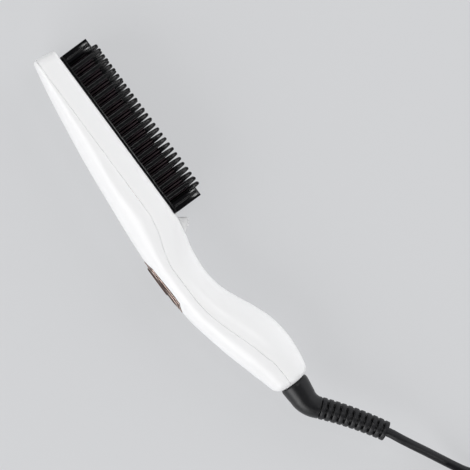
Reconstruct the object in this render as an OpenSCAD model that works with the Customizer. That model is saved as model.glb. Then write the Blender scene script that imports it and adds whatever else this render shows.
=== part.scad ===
// Heated beard and hair straightening comb, lying on its flank.
// +X runs from the tip to the cord, +Y points where the teeth point, +Z is up.
// The origin is on the flat flank of the head, at the middle of the comb.

/* [Comb] */
// Length of the comb over its two guards
comb_len = 116; // [104:1:128]
// Width of the comb across its flange
comb_w = 37; // [35:0.5:40]
// Thickness of the flange that lies on the head
flange_t = 2; // [1.6:0.1:2.6]
// Distance between the outer edges of the two guards and their inner faces
guard_len = 6.4; // [5:0.1:8]
// Height of the guards above the head
guard_h = 19.4; // [16:0.2:21]
// Height of the teeth above the head
tooth_h = 23; // [20:0.5:27]
// Radius of a tooth along its shaft
tooth_r = 1.75; // [1.4:0.05:1.8]
// Radius of a tooth's rounded tip
tip_r = 1.05; // [0.8:0.05:1.2]
// Number of teeth in each outer row
outer_teeth = 14; // [10:1:14]
// Distance of the outer rows from the middle plane
outer_row = 15.3; // [14.8:0.1:16.2]
// Distance of the inner rows from the middle plane
inner_row = 5.2; // [4.8:0.1:6]
// Width of the rails that carry the inner rows
rail_w = 3.8; // [3.4:0.1:4.4]

/* [Heater] */
// Height of the heated fins above the head
fin_h = 15.5; // [12:0.5:17]
// Thickness of a heated fin
fin_t = 0.9; // [0.6:0.1:1.1]
// Thickness of the heating plate
plate_t = 3; // [2:0.1:3.4]
// Length of the ceramic heating element
ptc_len = 60; // [40:1:80]
// Width of the ceramic heating element
ptc_w = 20; // [14:1:24]
// Thickness of the ceramic heating element
ptc_t = 2.4; // [1.8:0.1:2.6]
// Wall of the insulating tray round the heater
tray_wall = 1.2; // [1:0.1:1.4]

/* [Head] */
// Width of the head
head_w = 44; // [43:0.5:52]
// Height of the comb seat above the axis
seat_y = 8.2; // [8:0.1:9.5]
// Length of the head beyond the comb at the tip
tip_margin = 7.5; // [6:0.5:10]
// Depth of the back at the tip
tip_depth = 6.6; // [6.4:0.1:8]
// Depth of the back at the middle of the comb
comb_depth = 17.3; // [16:0.1:20]
// Depth of the back at the handle end of the comb
seat_depth = 23; // [22:0.1:26]
// Rounding of the head's tip, seen from the teeth
tip_round = 6; // [4:0.5:9]

/* [Handle] */
// Distance from the comb seat's end to the narrowest place
neck_run = 37; // [34:1:44]
// Distance from the narrowest place to the thickest
grip_run = 62; // [56:1:70]
// Distance from the thickest place to the cord end
end_run = 24; // [22:1:32]
// Width at the neck
neck_w = 30; // [29:0.5:36]
// Width at the grip
grip_w = 33; // [30:0.5:38]
// Width at the cord end
end_w = 24.6; // [24:0.2:28]
// Height of the neck's front above the axis
neck_front = 2.6; // [1.8:0.1:4]
// Height of the grip's front above the axis
grip_front = 20; // [18:0.5:23]
// Height of the cord end's front above the axis
end_front = 16.4; // [16:0.1:18]
// Depth of the neck's back below the axis
neck_depth = 23.9; // [23.6:0.1:26]
// Depth of the grip's back below the axis
grip_depth = 13.3; // [12:0.5:16]
// Depth of the cord end's back below the axis
end_depth = 6.6; // [6.2:0.1:8]

/* [Shell] */
// Wall of the two shells
wall = 2; // [1.6:0.1:2.2]
// Wall at the cord end, which carries the swivel
end_wall = 2.5; // [2:0.1:3]
// Width of the groove between the two shells
part_gap = 0.2; // [0.1:0.05:0.3]
// Depth of the parting line below the axis along the head
head_part = 3.9; // [3.4:0.1:4.4]
// Depth of the parting line below the axis at the neck
neck_part = 12.4; // [11:0.1:13]
// Height of the parting line above the axis at the cord end
end_part = 3.8; // [3.2:0.1:4.6]
// Clearance between parts that sit in each other
fit_gap = 0.15; // [0.1:0.05:0.2]
// Clearance round parts that slide
slide_gap = 0.3; // [0.25:0.05:0.4]

/* [Button] */
// Length of the copper trim
trim_len = 38.6; // [36:0.2:44]
// Width of the copper trim
trim_w = 21; // [18:0.2:22]
// Height of the trim over the shell
trim_rise = 0.5; // [0.3:0.1:0.8]
// Length of the button
button_len = 20.4; // [16:0.2:22]
// Width of the button
button_w = 8.4; // [7:0.2:9]
// Height of the button over the trim
button_rise = 0.7; // [0.5:0.1:1.2]
// Travel of the button
button_travel = 0.8; // [0.4:0.1:1]

/* [Latch] */
// Length of the thumb tab along the comb
tab_len = 9.6; // [8:0.2:10.4]
// Height of the thumb tab over the seat
tab_h = 4.8; // [4:0.1:6]
// Width of the thumb tab
tab_w = 12; // [9:0.5:14]
// Number of ribs on the thumb tab
tab_ribs = 3; // [2:1:4]
// Travel of the latch
latch_travel = 3; // [2.4:0.1:3.2]

/* [Cord] */
// Diameter of the cord
cord_d = 5.7; // [5:0.1:6.2]
// Height of the swivel axis above the head's axis
swivel_y = 5.1; // [4.6:0.1:5.6]
// Radius of the swivel's bore in the cord end
swivel_r = 6.4; // [5:0.1:6.8]
// Radius of the elbow where it meets the shell
elbow_r = 9; // [8:0.1:9.4]
// Angle by which the elbow turns the cord
elbow_turn = 39; // [20:0.5:45]
// Radius of the bend in the elbow
elbow_bend = 15.3; // [12:0.1:18]
// Radius of the strain relief where it leaves the elbow
relief_r = 6.85; // [6.2:0.05:7.2]
// Radius of the strain relief at the cord
relief_end_r = 6.1; // [5.6:0.05:6.6]
// Length of the strain relief
relief_len = 42.8; // [36:0.2:50]
// Angle by which the strain relief bends back towards the table
relief_droop = 10; // [2:0.5:14]
// Number of ribs on the strain relief
relief_ribs = 11; // [8:1:13]
// Width of the slots between the ribs
relief_slot = 1.3; // [0.9:0.1:1.5]

/* [Plug] */
// Width of the plug's body
plug_w = 34; // [30:0.5:36]
// Thickness of the plug's body
plug_t = 13.6; // [13:0.1:14]
// Length of the plug's body
plug_len = 34; // [30:0.5:40]
// Radius of the plug's pins
pin_r = 2; // [1.9:0.05:2.1]
// Free length of the plug's pins
pin_len = 19; // [18:0.5:20]
// Distance between the plug's pins
pin_pitch = 18.6; // [17.5:0.1:19]

/* [Hidden] */
$fn = 48;

WHITE = "#F3F3F1";
BLACK = "#1D1D20";
COPPER = "#6B4B40";
METAL = "#B9BABC";
BRASS = "#C9A45A";

// Stations along the axis
mid_z = head_w / 2;
x_tip = -comb_len / 2 - tip_margin;
x_seat = comb_len / 2 + 2;
x_neck = x_seat + neck_run;
x_grip = x_neck + grip_run;
x_end = x_grip + end_run;
tip_slant = 0.157;
tip_slant_run = 25;
tip_edge = 1.6;
end_round = 4.5;

// ---- small helpers ----

function mix(a, b, t) = a + (b - a) * t;
function sum(v, i = 0) = i >= len(v) ? 0 : v[i] + sum(v, i + 1);

// A smooth line through the rows of a table of [x, value], which never overshoots them
function slope(t, i) = (t[i + 1][1] - t[i][1]) / (t[i + 1][0] - t[i][0]);
function tangent(t, i) =
    i == 0 ? slope(t, 0) :
    i == len(t) - 1 ? slope(t, i - 1) :
    let (a = slope(t, i - 1), b = slope(t, i)) a * b <= 0 ? 0 : 2 * a * b / (a + b);
function segment(t, x, i = 0) = i >= len(t) - 2 || x < t[i + 1][0] ? i : segment(t, x, i + 1);
function line_at(t, x) =
    let (i = segment(t, x), h = t[i + 1][0] - t[i][0], u = (x - t[i][0]) / h)
    t[i][1] * (1 + 2 * u) * (1 - u) * (1 - u) + t[i + 1][1] * u * u * (3 - 2 * u)
    + tangent(t, i) * h * u * (1 - u) * (1 - u) - tangent(t, i + 1) * h * u * u * (1 - u);

// ---- the housing's lines ----

FRONT_LINE = [
    [x_tip, seat_y],
    [x_seat, seat_y],
    [mix(x_seat, x_neck, 0.32), mix(seat_y, neck_front, 0.36)],
    [mix(x_seat, x_neck, 0.65), mix(seat_y, neck_front, 0.83)],
    [x_neck, neck_front],
    [mix(x_neck, x_grip, 0.19), mix(neck_front, grip_front, 0.09)],
    [mix(x_neck, x_grip, 0.37), mix(neck_front, grip_front, 0.33)],
    [mix(x_neck, x_grip, 0.56), mix(neck_front, grip_front, 0.64)],
    [mix(x_neck, x_grip, 0.78), mix(neck_front, grip_front, 0.91)],
    [x_grip, grip_front],
    [mix(x_grip, x_end, 0.5), mix(grip_front, end_front, 0.25)],
    [x_end, end_front]];

BACK_LINE = [
    [x_tip, -tip_depth],
    [x_tip * 0.7, -mix(tip_depth, comb_depth, 0.37)],
    [x_tip * 0.3, -mix(tip_depth, comb_depth, 0.75)],
    [0, -comb_depth],
    [x_seat * 0.5, -mix(comb_depth, seat_depth, 0.54)],
    [x_seat, -seat_depth],
    [mix(x_seat, x_neck, 0.4), -mix(seat_depth, neck_depth, 0.8)],
    [x_neck, -neck_depth],
    [mix(x_neck, x_grip, 0.24), -mix(neck_depth, grip_depth, 0.05)],
    [mix(x_neck, x_grip, 0.56), -mix(neck_depth, grip_depth, 0.36)],
    [mix(x_neck, x_grip, 0.8), -mix(neck_depth, grip_depth, 0.68)],
    [x_grip, -grip_depth],
    [x_end, -end_depth]];

PART_LINE = [
    [x_tip, -head_part],
    [x_seat * 0.78, -head_part],
    [x_seat, -mix(head_part, neck_part, 0.24)],
    [mix(x_seat, x_neck, 0.34), -mix(head_part, neck_part, 0.74)],
    [mix(x_seat, x_neck, 0.65), -neck_part],
    [mix(x_neck, x_grip, 0.1), -neck_part],
    [mix(x_neck, x_grip, 0.34), mix(-neck_part, end_part, 0.09)],
    [mix(x_neck, x_grip, 0.56), mix(-neck_part, end_part, 0.32)],
    [mix(x_neck, x_grip, 0.8), mix(-neck_part, end_part, 0.63)],
    [x_grip, mix(-neck_part, end_part, 0.84)],
    [mix(x_grip, x_end, 0.45), end_part - 0.3],
    [x_end, end_part]];

WIDTH_LINE = [
    [x_tip, head_w / 2],
    [x_seat - 10, head_w / 2],
    [x_neck, neck_w / 2],
    [x_grip - 8, grip_w / 2],
    [x_end, end_w / 2]];

// Share of the front's height that its rounded corner takes
CORNER_HIGH = [[x_tip, 0.22], [x_seat - 14, 0.24], [x_neck - 6, 0.9], [x_end, 0.92]];
// Share of the half width that the same corner takes
CORNER_WIDE = [[x_tip, 0.14], [x_seat - 14, 0.15], [x_neck - 6, 0.96], [x_end, 0.97]];
// Share of the back's depth that stays flat on the flank, down to the crease
BACK_FLAT = [[x_tip, 0.1], [-12, 0.07], [24, 0.27], [x_seat * 0.8, 0.12], [x_seat, 0.2],
    [x_neck, 0.06], [x_end, 0.08]];

function half_width(x) = line_at(WIDTH_LINE, x);
function part_at(x) = line_at(PART_LINE, x);
function edge_at(x, side) = line_at(side > 0 ? FRONT_LINE : BACK_LINE, x);

// How much the rounded ends draw in at x, with radius r
function end_draw(x, r_tip, r_end) =
    let (d = x - x_tip, e = x_end - x)
    (d < r_tip ? r_tip - sqrt(max(0, r_tip * r_tip - pow(r_tip - d, 2))) : 0)
    + (e < r_end ? r_end - sqrt(max(0, r_end * r_end - pow(r_end - e, 2))) : 0);

// Half of a cross-section, from the parting line round one side and back, as [y, z]
corner_steps = 7;
front_power = 0.92;
back_power = 0.88;
back_flat_w = 0.03;
function half_section(x, side, inset) =
    let (
        w = half_width(x) - inset - end_draw(x, tip_round, end_round),
        y0 = part_at(x) + side * part_gap / 2,
        ye = edge_at(x, side) - side * (inset + end_draw(x, tip_edge, end_round)),
        flat = side > 0 ? 1 - line_at(CORNER_HIGH, x) : line_at(BACK_FLAT, x),
        yc = mix(y0, ye, flat),
        zc = w * (side > 0 ? 1 - line_at(CORNER_WIDE, x) : back_flat_w),
        power = side > 0 ? front_power : back_power,
        corner = [for (k = [0 : corner_steps]) let (a = 90 * k / corner_steps)
            [mix(yc, ye, pow(sin(a), power)), mix(zc, w, pow(cos(a), power))]])
    concat([[y0, w]], corner,
        [for (k = [corner_steps : -1 : 0]) [corner[k][0], -corner[k][1]]], [[y0, -w]]);

// Height of the back's surface at a distance z from the middle of the width
function back_at(x, z) =
    let (w = half_width(x), zc = w * back_flat_w,
        ye = edge_at(x, -1), yc = mix(part_at(x), ye, line_at(BACK_FLAT, x)),
        c = pow(max(0, abs(z) - zc) / (w - zc), 1 / back_power))
    mix(yc, ye, pow(1 - c * c, back_power / 2));

function slant_at(x) = tip_slant * max(0, 1 - (x - x_tip) / tip_slant_run);
function ring(x, side, inset) = [for (p = half_section(x, side, inset))
    [x + slant_at(x) * max(0, p[0] + head_part), p[0], mid_z + p[1]]];

// Where the rings of the housing stand
head_steps = 15;
handle_steps = 24;
RING_X = concat(
    [for (a = [0 : 22.5 : 67.5]) x_tip + tip_round * (1 - cos(a))],
    [for (k = [0 : head_steps - 1]) mix(x_tip + tip_round, x_seat - 6, k / head_steps)],
    [for (k = [0 : handle_steps - 1]) mix(x_seat - 6, x_end - end_round, k / handle_steps)],
    [for (a = [90 : -22.5 : 0]) x_end - end_round * (1 - cos(a))]);
function inner_x(x) =
    mix(x_tip + wall, x_end - end_wall, (x - x_tip) / (x_end - x_tip));

function quad(a, b, c, d, turned) = turned ? [[a, c, b], [a, d, c]] : [[a, b, c], [a, c, d]];
function flipped(f, turned) = turned ? [for (i = [len(f) - 1 : -1 : 0]) f[i]] : f;

// One half of the housing as a closed shell with its rim on the parting line
module shell_half(side) {
    n = len(RING_X);
    m = 2 * corner_steps + 4;
    turned = side < 0;
    outer = [for (x = RING_X) each ring(x, side, 0)];
    inner = [for (x = RING_X) each ring(inner_x(x), side, wall)];
    in0 = n * m;
    faces = concat(
        [for (i = [0 : n - 2], j = [0 : m - 2])
            each quad(i * m + j, i * m + j + 1, (i + 1) * m + j + 1, (i + 1) * m + j, turned)],
        [for (i = [0 : n - 2], j = [0 : m - 2]) each quad(in0 + i * m + j,
            in0 + i * m + j + 1, in0 + (i + 1) * m + j + 1, in0 + (i + 1) * m + j, !turned)],
        [for (i = [0 : n - 2]) each quad(i * m, (i + 1) * m,
            in0 + (i + 1) * m, in0 + i * m, turned)],
        [for (i = [0 : n - 2]) each quad(i * m + m - 1, (i + 1) * m + m - 1,
            in0 + (i + 1) * m + m - 1, in0 + i * m + m - 1, !turned)],
        [flipped([for (j = [0 : m - 1]) j], !turned)],
        [flipped([for (j = [0 : m - 1]) in0 + j], turned)],
        [flipped([for (j = [0 : m - 1]) (n - 1) * m + j], turned)],
        [flipped([for (j = [0 : m - 1]) in0 + (n - 1) * m + j], !turned)],
        quad(0, in0, in0 + m - 1, m - 1, turned),
        quad((n - 1) * m, in0 + (n - 1) * m, in0 + n * m - 1, n * m - 1, !turned));
    polyhedron(points = concat(outer, inner), faces = faces);
}

// ---- tubes ----

function unit(v) = v / norm(v);
// The level direction at an angle from +X
function heading(a) = [cos(a), sin(a), 0];
function way(path, i) = unit(path[min(i + 1, len(path) - 1)] - path[max(i - 1, 0)]);
function radius_at(r, i) = is_list(r) ? r[i] : r;

// A round tube along a path, with one radius or a radius for each point
module tube(path, r, sides, up = [0, 0, 1]) {
    n = len(path);
    points = [for (i = [0 : n - 1])
        let (t = way(path, i), s = unit(cross(t, up)), u = cross(s, t))
        for (k = [0 : sides - 1]) let (a = 360 * k / sides)
            path[i] + radius_at(r, i) * (s * cos(a) + u * sin(a))];
    faces = concat(
        [for (i = [0 : n - 2], k = [0 : sides - 1]) let (q = (k + 1) % sides)
            each quad(i * sides + k, i * sides + q, (i + 1) * sides + q,
                (i + 1) * sides + k, false)],
        [[for (k = [sides - 1 : -1 : 0]) k]],
        [[for (k = [0 : sides - 1]) (n - 1) * sides + k]]);
    polyhedron(points = points, faces = faces);
}

// Points between the points of a route, on a smooth curve through them
function between(p, i, u) =
    let (a = p[max(i - 1, 0)], b = p[i], c = p[i + 1], d = p[min(i + 2, len(p) - 1)])
    0.5 * (2 * b + (c - a) * u + (2 * a - 5 * b + 4 * c - d) * u * u
        + (3 * b - a - 3 * c + d) * u * u * u);
function smooth(p, steps) = concat(
    [for (i = [0 : len(p) - 2], k = [0 : steps - 1]) between(p, i, k / steps)],
    [p[len(p) - 1]]);

// Stands a shape that was drawn along +Z on the plane y = height, pointing along +Y
module stand(x, y, z = mid_z) translate([x, y, z]) rotate([-90, 0, 0]) children();

// A flat plan in X and Z, raised from y0 to y1
module raised(y0, y1) translate([0, y1, mid_z]) rotate([90, 0, 0])
    linear_extrude(height = y1 - y0) children();

// ---- housing ----

// The comb's window in the head and the place of its screws
window_l = comb_len - 12;
window_w = comb_w - 8;
screw_x = comb_len / 2 - 2.6;
screw_z = 12;
screw_r = 1.1;
screw_head_r = 2.2;
screw_head_t = 1.4;
boss_r = 2.6;
seat_in = seat_y - wall;

// The latch's slot, between the comb and the slope of the neck
tab_x = comb_len / 2 + 3.3;
lug_w = 12;
lug_t = 3.4;
lug_x = comb_len / 2 - 1 - lug_t;
latch_neck_w = 5;
latch_neck_x = tab_x + 1.4;
latch_neck_l = tab_len - 5;

// The button, the board under it and their places along the handle
trim_x = x_neck - 7;
button_x = trim_x - 4.6;
light_x = button_x + button_len / 2 + 4.6;
crown = -neck_depth;
trim_top = crown - trim_rise;
board_t = 1.6;
board_y = -15;
board_w = 18;
board_x0 = x_neck - 25;
board_x1 = x_neck + 39;
board_screw_x = [trim_x + trim_len / 2 + 5, board_x1 - 4];
board_boss_r = 3;
board_screw_r = 1;

// The swivel's flange, behind the end wall
flange_x1 = x_end - end_wall - slide_gap;
flange_r = swivel_r + 1.8;
collar_flange_t = 2.2;

module front_boss(x, z) stand(x, part_at(x) + part_gap / 2, mid_z + z)
    cylinder(r = boss_r, h = seat_y - 0.6 - part_at(x) - part_gap / 2);

module front_shell() color(WHITE) difference() {
    union() {
        shell_half(1);
        for (sx = [-1, 1], sz = [-1, 1]) front_boss(sx * screw_x, sz * screw_z);
        spring_seat();
        board_posts();
    }
    raised(seat_in - 1, seat_y + 1) square([window_l, window_w], center = true);
    translate([window_l / 2 - 1, seat_in - 1, mid_z - lug_w / 2 - slide_gap])
        cube([lug_x + lug_t + slide_gap - window_l / 2 + 1, wall + 2, lug_w + 2 * slide_gap]);
    translate([latch_neck_x - slide_gap, seat_in - 3, mid_z - latch_neck_w / 2 - slide_gap])
        cube([latch_neck_l + latch_travel + 2 * slide_gap, wall + 6,
            latch_neck_w + 2 * slide_gap]);
    for (sx = [-1, 1], sz = [-1, 1]) {
        stand(sx * screw_x, -30, mid_z + sz * screw_z) cylinder(r = screw_r + fit_gap, h = 60);
        stand(sx * screw_x, seat_y - screw_head_t - fit_gap, mid_z + sz * screw_z)
            cylinder(r = screw_head_r + fit_gap, h = 5);
    }
    swivel_bore();
}

// Posts in the front shell that hold the board against a push on the button
board_post_x = button_x;
board_post_z = 7;
module board_posts() for (s = [-1, 1])
    stand(board_post_x, board_y + board_t + 0.1, mid_z + s * board_post_z)
        cylinder(r = 1.4, h = edge_at(board_post_x, 1) - wall / 2 - board_y - board_t);

// The rib inside the front shell on which the latch's spring rests
latch_y0 = -0.5;
latch_t = 2;
latch_x0 = lug_x + 1.9;
latch_x1 = tab_x + tab_len + 0.8;
spring_len = 7;
spring_r = 1.5;
spring_wire = 0.3;
spring_rest_x = latch_x1 + spring_len;
rib_t = 1.4;
module spring_seat() translate([spring_rest_x, latch_y0 - 1.4, mid_z - 5])
    cube([rib_t, edge_at(spring_rest_x, 1) - wall / 2 - latch_y0 + 1.4, 10]);

module swivel_bore() translate([x_end - 12, swivel_y, mid_z]) rotate([0, 90, 0])
    cylinder(r = swivel_r, h = 24);

module back_boss(x, z) stand(x, edge_at(x, -1) + wall / 2 + 1.2, mid_z + z)
    cylinder(r = boss_r, h = part_at(x) - part_gap / 2 - edge_at(x, -1) - wall / 2 - 1.2);

module board_boss(x) stand(x, edge_at(x, -1) + wall / 2)
    cylinder(r = board_boss_r, h = board_y - edge_at(x, -1) - wall / 2);

module back_shell() color(WHITE) difference() {
    union() {
        shell_half(-1);
        for (sx = [-1, 1], sz = [-1, 1]) back_boss(sx * screw_x, sz * screw_z);
        for (x = board_screw_x) board_boss(x);
    }
    raised(crown - 5, crown + 8) trim_plan(fit_gap);
    for (sx = [-1, 1], sz = [-1, 1])
        stand(sx * screw_x, screw_tip_y(sx) - 0.4, mid_z + sz * screw_z)
            cylinder(r = screw_r + fit_gap, h = 40);
    for (x = board_screw_x) stand(x, board_y - board_screw_len)
        cylinder(r = board_screw_r + fit_gap, h = board_screw_len + 1);
    swivel_bore();
}

// ---- button ----

// The trim's long hexagon, in X and Z, grown by a margin
trim_flat = 26.6;
function trim_loop(grow, inset) =
    let (l = trim_len / 2 + grow * 1.4 - inset * 1.6,
        w = trim_w / 2 + grow - inset, f = trim_flat / 2 - inset * 0.4)
    [for (p = [[-l, 0], [-f, w], [f, w], [l, 0], [f, -w], [-f, -w]]) [trim_x + p[0], p[1]]];
module trim_plan(grow = 0, inset = 0) polygon(trim_loop(grow, inset));

module stadium(l, w) union() {
    square([l - w, w], center = true);
    for (s = [-1, 1]) translate([s * (l - w) / 2, 0]) circle(d = w);
}

trim_facet = 4.2;
trim_proud = 0.3;
trim_foot_y = crown + 3;
trim_under_y = crown + 1.8;
// The facets fall from the flat middle to a rim that stands just proud of the shell
module trim_body() {
    rim = trim_loop(0, 0);
    hull() polyhedron(
        concat([for (p = rim) [p[0], trim_foot_y, mid_z + p[1]]],
            [for (p = rim) [p[0], back_at(p[0], p[1]) - trim_proud, mid_z + p[1]]],
            [for (p = trim_loop(0, trim_facet)) [p[0], trim_top, mid_z + p[1]]]),
        concat([[0, 1, 2, 3, 4, 5], [17, 16, 15, 14, 13, 12]],
            [for (k = [0, 6], i = [0 : 5]) let (j = (i + 1) % 6)
                each [[k + i, k + i + 6, k + j], [k + j, k + i + 6, k + j + 6]]]));
}
module button_trim() color(COPPER) difference() {
    trim_body();
    raised(trim_under_y, trim_foot_y + 1) trim_plan(0, 1.6);
    raised(trim_top - 1, trim_under_y + 1) translate([button_x, 0])
        stadium(button_len + 2 * slide_gap, button_w + 2 * slide_gap);
    stand(light_x, trim_top - 1) cylinder(r = light_r + fit_gap, h = 5);
}

// The button's cap, the flange that keeps it in, and its stem
button_flange = 1;
button_cap_t = 2.6;
stem_r = 2;
module power_button() color(COPPER) {
    cap_y = trim_top - button_rise;
    flange_y = trim_under_y + slide_gap;
    raised(cap_y, flange_y + 0.2) translate([button_x, 0]) stadium(button_len, button_w);
    raised(flange_y, flange_y + 0.8) translate([button_x, 0])
        stadium(button_len + 2 * button_flange, button_w + 2 * button_flange);
    stand(button_x, flange_y) cylinder(r = stem_r, h = plunger_y0 - flange_y);
}

// The push switch hangs under the board; its plunger moves with the button
switch_h = 3.6;
plunger_r = 1.7;
plunger_y0 = board_y - switch_h - 1.5;
plunger_y1 = board_y - switch_h + 1.1;
module switch_plunger() color(BLACK) stand(button_x, plunger_y0)
    cylinder(r = plunger_r, h = plunger_y1 - plunger_y0);

module tact_switch() color(METAL) difference() {
    translate([button_x - 3, board_y - switch_h, mid_z - 3]) cube([6, switch_h, 6]);
    stand(button_x, board_y - switch_h - 1)
        cylinder(r = plunger_r + slide_gap, h = 1.1 + button_travel + 1.5);
}

light_r = 1.1;
module status_light() color("#D8F0FF") {
    stand(light_x, trim_top - 0.1) cylinder(r = light_r, h = 3.2);
    stand(light_x, trim_top + 3) cylinder(r = 1.5, h = board_y - trim_top - 3);
}

// ---- board ----

module circuit_board() color("#2F6B45") difference() {
    translate([board_x0, board_y, mid_z - board_w / 2])
        cube([board_x1 - board_x0, board_t, board_w]);
    for (x = board_screw_x) stand(x, board_y - 1)
        cylinder(r = board_screw_r + fit_gap, h = board_t + 2);
}

// What is soldered on the board's front, as [length, height, width]
RELAY = [9, 5, 14];
CHIP = [7, 1.2, 5];
FILM = [4, 8, 12];
RESISTOR = [2, 0.8, 4];
capacitor_r = 4;
capacitor_h = 9;
board_gap = 1.5;
module board_parts() color("#33373D") {
    top = board_y + board_t;
    relay_x = x_neck - RELAY[0] + 1;
    cap_x = relay_x + RELAY[0] + board_gap + capacitor_r;
    chip_x = cap_x + capacitor_r + board_gap;
    film_x = chip_x + CHIP[0] + 2 * board_gap;
    translate([relay_x, top, mid_z - RELAY[2] / 2]) cube(RELAY);
    stand(cap_x, top, mid_z + 3) cylinder(r = capacitor_r, h = capacitor_h);
    translate([chip_x, top, mid_z - CHIP[2] - 3.4]) cube(CHIP);
    translate([film_x, top, mid_z - FILM[2] / 2]) cube(FILM);
    translate([board_x0 + 9, top, mid_z - 6]) cube(RESISTOR);
}

board_screw_len = 5;
module board_screws() color(METAL) for (x = board_screw_x) {
    stand(x, board_y + board_t) cylinder(r = 1.9, h = 1.3);
    stand(x, board_y + board_t - board_screw_len) cylinder(r = board_screw_r, h = board_screw_len);
}

// ---- comb ----

pitch = (comb_len - 2 * guard_len - 0.3) / outer_teeth;
tooth_taper = 8.6;
skirt_t = 0.4;

// One tooth, which tapers to a rounded tip
module tooth() rotate_extrude() polygon(concat(
    [[0, 0], [tooth_r, 0], [tooth_r, tooth_h - tooth_taper],
        [mix(tip_r, tooth_r, 0.62), tooth_h - tooth_taper / 2]],
    [for (a = [15 : 25 : 90]) [tip_r * cos(a), tooth_h - tip_r + tip_r * sin(a)]]));

// A guard closes each end of the comb: two ribs with a groove between them
module guard_plan(s) difference() {
    x0 = comb_len / 2 - guard_len;
    translate([s * (comb_len / 2 - guard_len / 2), 0])
        square([guard_len, comb_w - 2], center = true);
    for (sz = [-1, 1]) translate([s * (x0 + guard_len * 0.45), sz * (comb_w - 2) / 2])
        circle(r = 0.45);
}

module comb_frame() color(BLACK) difference() {
    union() {
        raised(seat_y, seat_y + flange_t) square([comb_len, comb_w], center = true);
        raised(seat_in - skirt_t, seat_y)
            square([plate_l, window_w - 2 * fit_gap], center = true);
        for (s = [-1, 1]) raised(seat_y + flange_t, seat_y + guard_h) guard_plan(s);
        lug();
        for (k = [0 : outer_teeth - 1], sz = [-1, 1])
            stand((k - (outer_teeth - 1) / 2) * pitch, seat_y, mid_z + sz * outer_row) tooth();
        for (k = [0 : outer_teeth], sz = [-1, 1])
            stand((k - outer_teeth / 2) * pitch, seat_y, mid_z + sz * inner_row) tooth();
    }
    for (band = FIN_BANDS) translate([-fin_slot_l / 2, seat_in - 4, mid_z + band[0]])
        cube([fin_slot_l, flange_t + wall + 4.2, band[1] - band[0]]);
}

// The bands between the rails where the fins stand, as [from, to] in Z
fin_slot_l = comb_len - 2 * guard_len - 2;
FIN_BANDS = [
    [-inner_row + rail_w / 2, inner_row - rail_w / 2],
    [inner_row + rail_w / 2, outer_row - 2.3],
    [2.3 - outer_row, -inner_row - rail_w / 2]];

// The lug under the comb that the latch holds
module lug() difference() {
    translate([lug_x, latch_y0 - 0.9, mid_z - lug_w / 2])
        cube([lug_t, seat_y - latch_y0 + 0.9, lug_w]);
    translate([latch_x0 - slide_gap, latch_y0 - slide_gap, mid_z - lug_w])
        cube([5, latch_t + 2 * slide_gap, 2 * lug_w]);
}

// ---- heater ----

plate_top = seat_in - skirt_t - slide_gap;
plate_bottom = plate_top - plate_t;
tray_l = window_l + 0.4;
tray_w = window_w + 5;
plate_l = tray_l - 2 * tray_wall - 2 * slide_gap;
plate_w = tray_w - 2 * tray_wall - 2 * slide_gap;
tray_floor = plate_bottom - ptc_t - 1.8;
fins_per_tooth = 4;
fin_n = fins_per_tooth * outer_teeth - 1;

module heating_plate() color("#4A3530") {
    translate([-plate_l / 2, plate_bottom, mid_z - plate_w / 2]) cube([plate_l, plate_t, plate_w]);
    for (band = FIN_BANDS) translate([0, 0, mid_z + band[0] + 0.4])
        linear_extrude(height = band[1] - band[0] - 0.8) fin_row();
}

// A row of fins, seen from the flank, with a root in the plate
module fin_row() for (k = [0 : fin_n - 1]) {
    x = (k - (fin_n - 1) / 2) * pitch / fins_per_tooth;
    polygon([[x - fin_t / 2, plate_top - 0.5], [x + fin_t / 2, plate_top - 0.5],
        [x + fin_t / 2, seat_y + fin_h - 3], [x + fin_t / 4, seat_y + fin_h],
        [x - fin_t / 4, seat_y + fin_h], [x - fin_t / 2, seat_y + fin_h - 3]]);
}

module ptc_heater() color("#E6E2DA")
    translate([-ptc_len / 2, plate_bottom - 0.05 - ptc_t, mid_z - ptc_w / 2])
        cube([ptc_len, ptc_t, ptc_w]);

// A sprung strip: its middle presses the element, its feet stand in the tray
clamp_t = 0.5;
module heater_clamp() color(METAL) {
    top = plate_bottom - 0.1 - ptc_t;
    foot = tray_floor + 0.05;
    l = ptc_len * 0.4;
    translate([0, 0, mid_z - 5]) linear_extrude(height = 10) polygon([
        [-l, foot], [-l + 4, foot], [-l + 8, top - clamp_t], [l - 8, top - clamp_t],
        [l - 4, foot], [l, foot], [l, foot + clamp_t], [l - 4, foot + clamp_t],
        [l - 8, top], [8 - l, top], [4 - l, foot + clamp_t], [-l, foot + clamp_t]]);
}

// The insulating tray that holds the heater off the shells
lead_z = 4;
lead_x = ptc_len / 2 - 3;
module heat_shield() color("#D9CFB8") difference() {
    raised(tray_floor - tray_wall, seat_in - 0.1) square([tray_l, tray_w], center = true);
    raised(tray_floor, seat_in + 1)
        square([tray_l - 2 * tray_wall, tray_w - 2 * tray_wall], center = true);
    for (s = [-1, 1]) stand(lead_x, tray_floor - 3, mid_z + s * lead_z) cylinder(r = lead_r + 0.6, h = 5);
}

sensor_x = (ptc_len + plate_l) / 4;
module thermostat() color("#C98B4A")
    translate([sensor_x, plate_bottom - 0.05 - 1.5, mid_z - 4]) cylinder(r = 1.5, h = 8);

module thermal_fuse() color("#C9CBC8")
    translate([-sensor_x, plate_bottom - 0.05 - 1.6, mid_z - 6]) cylinder(r = 1.6, h = 12);

// ---- leads ----

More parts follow.
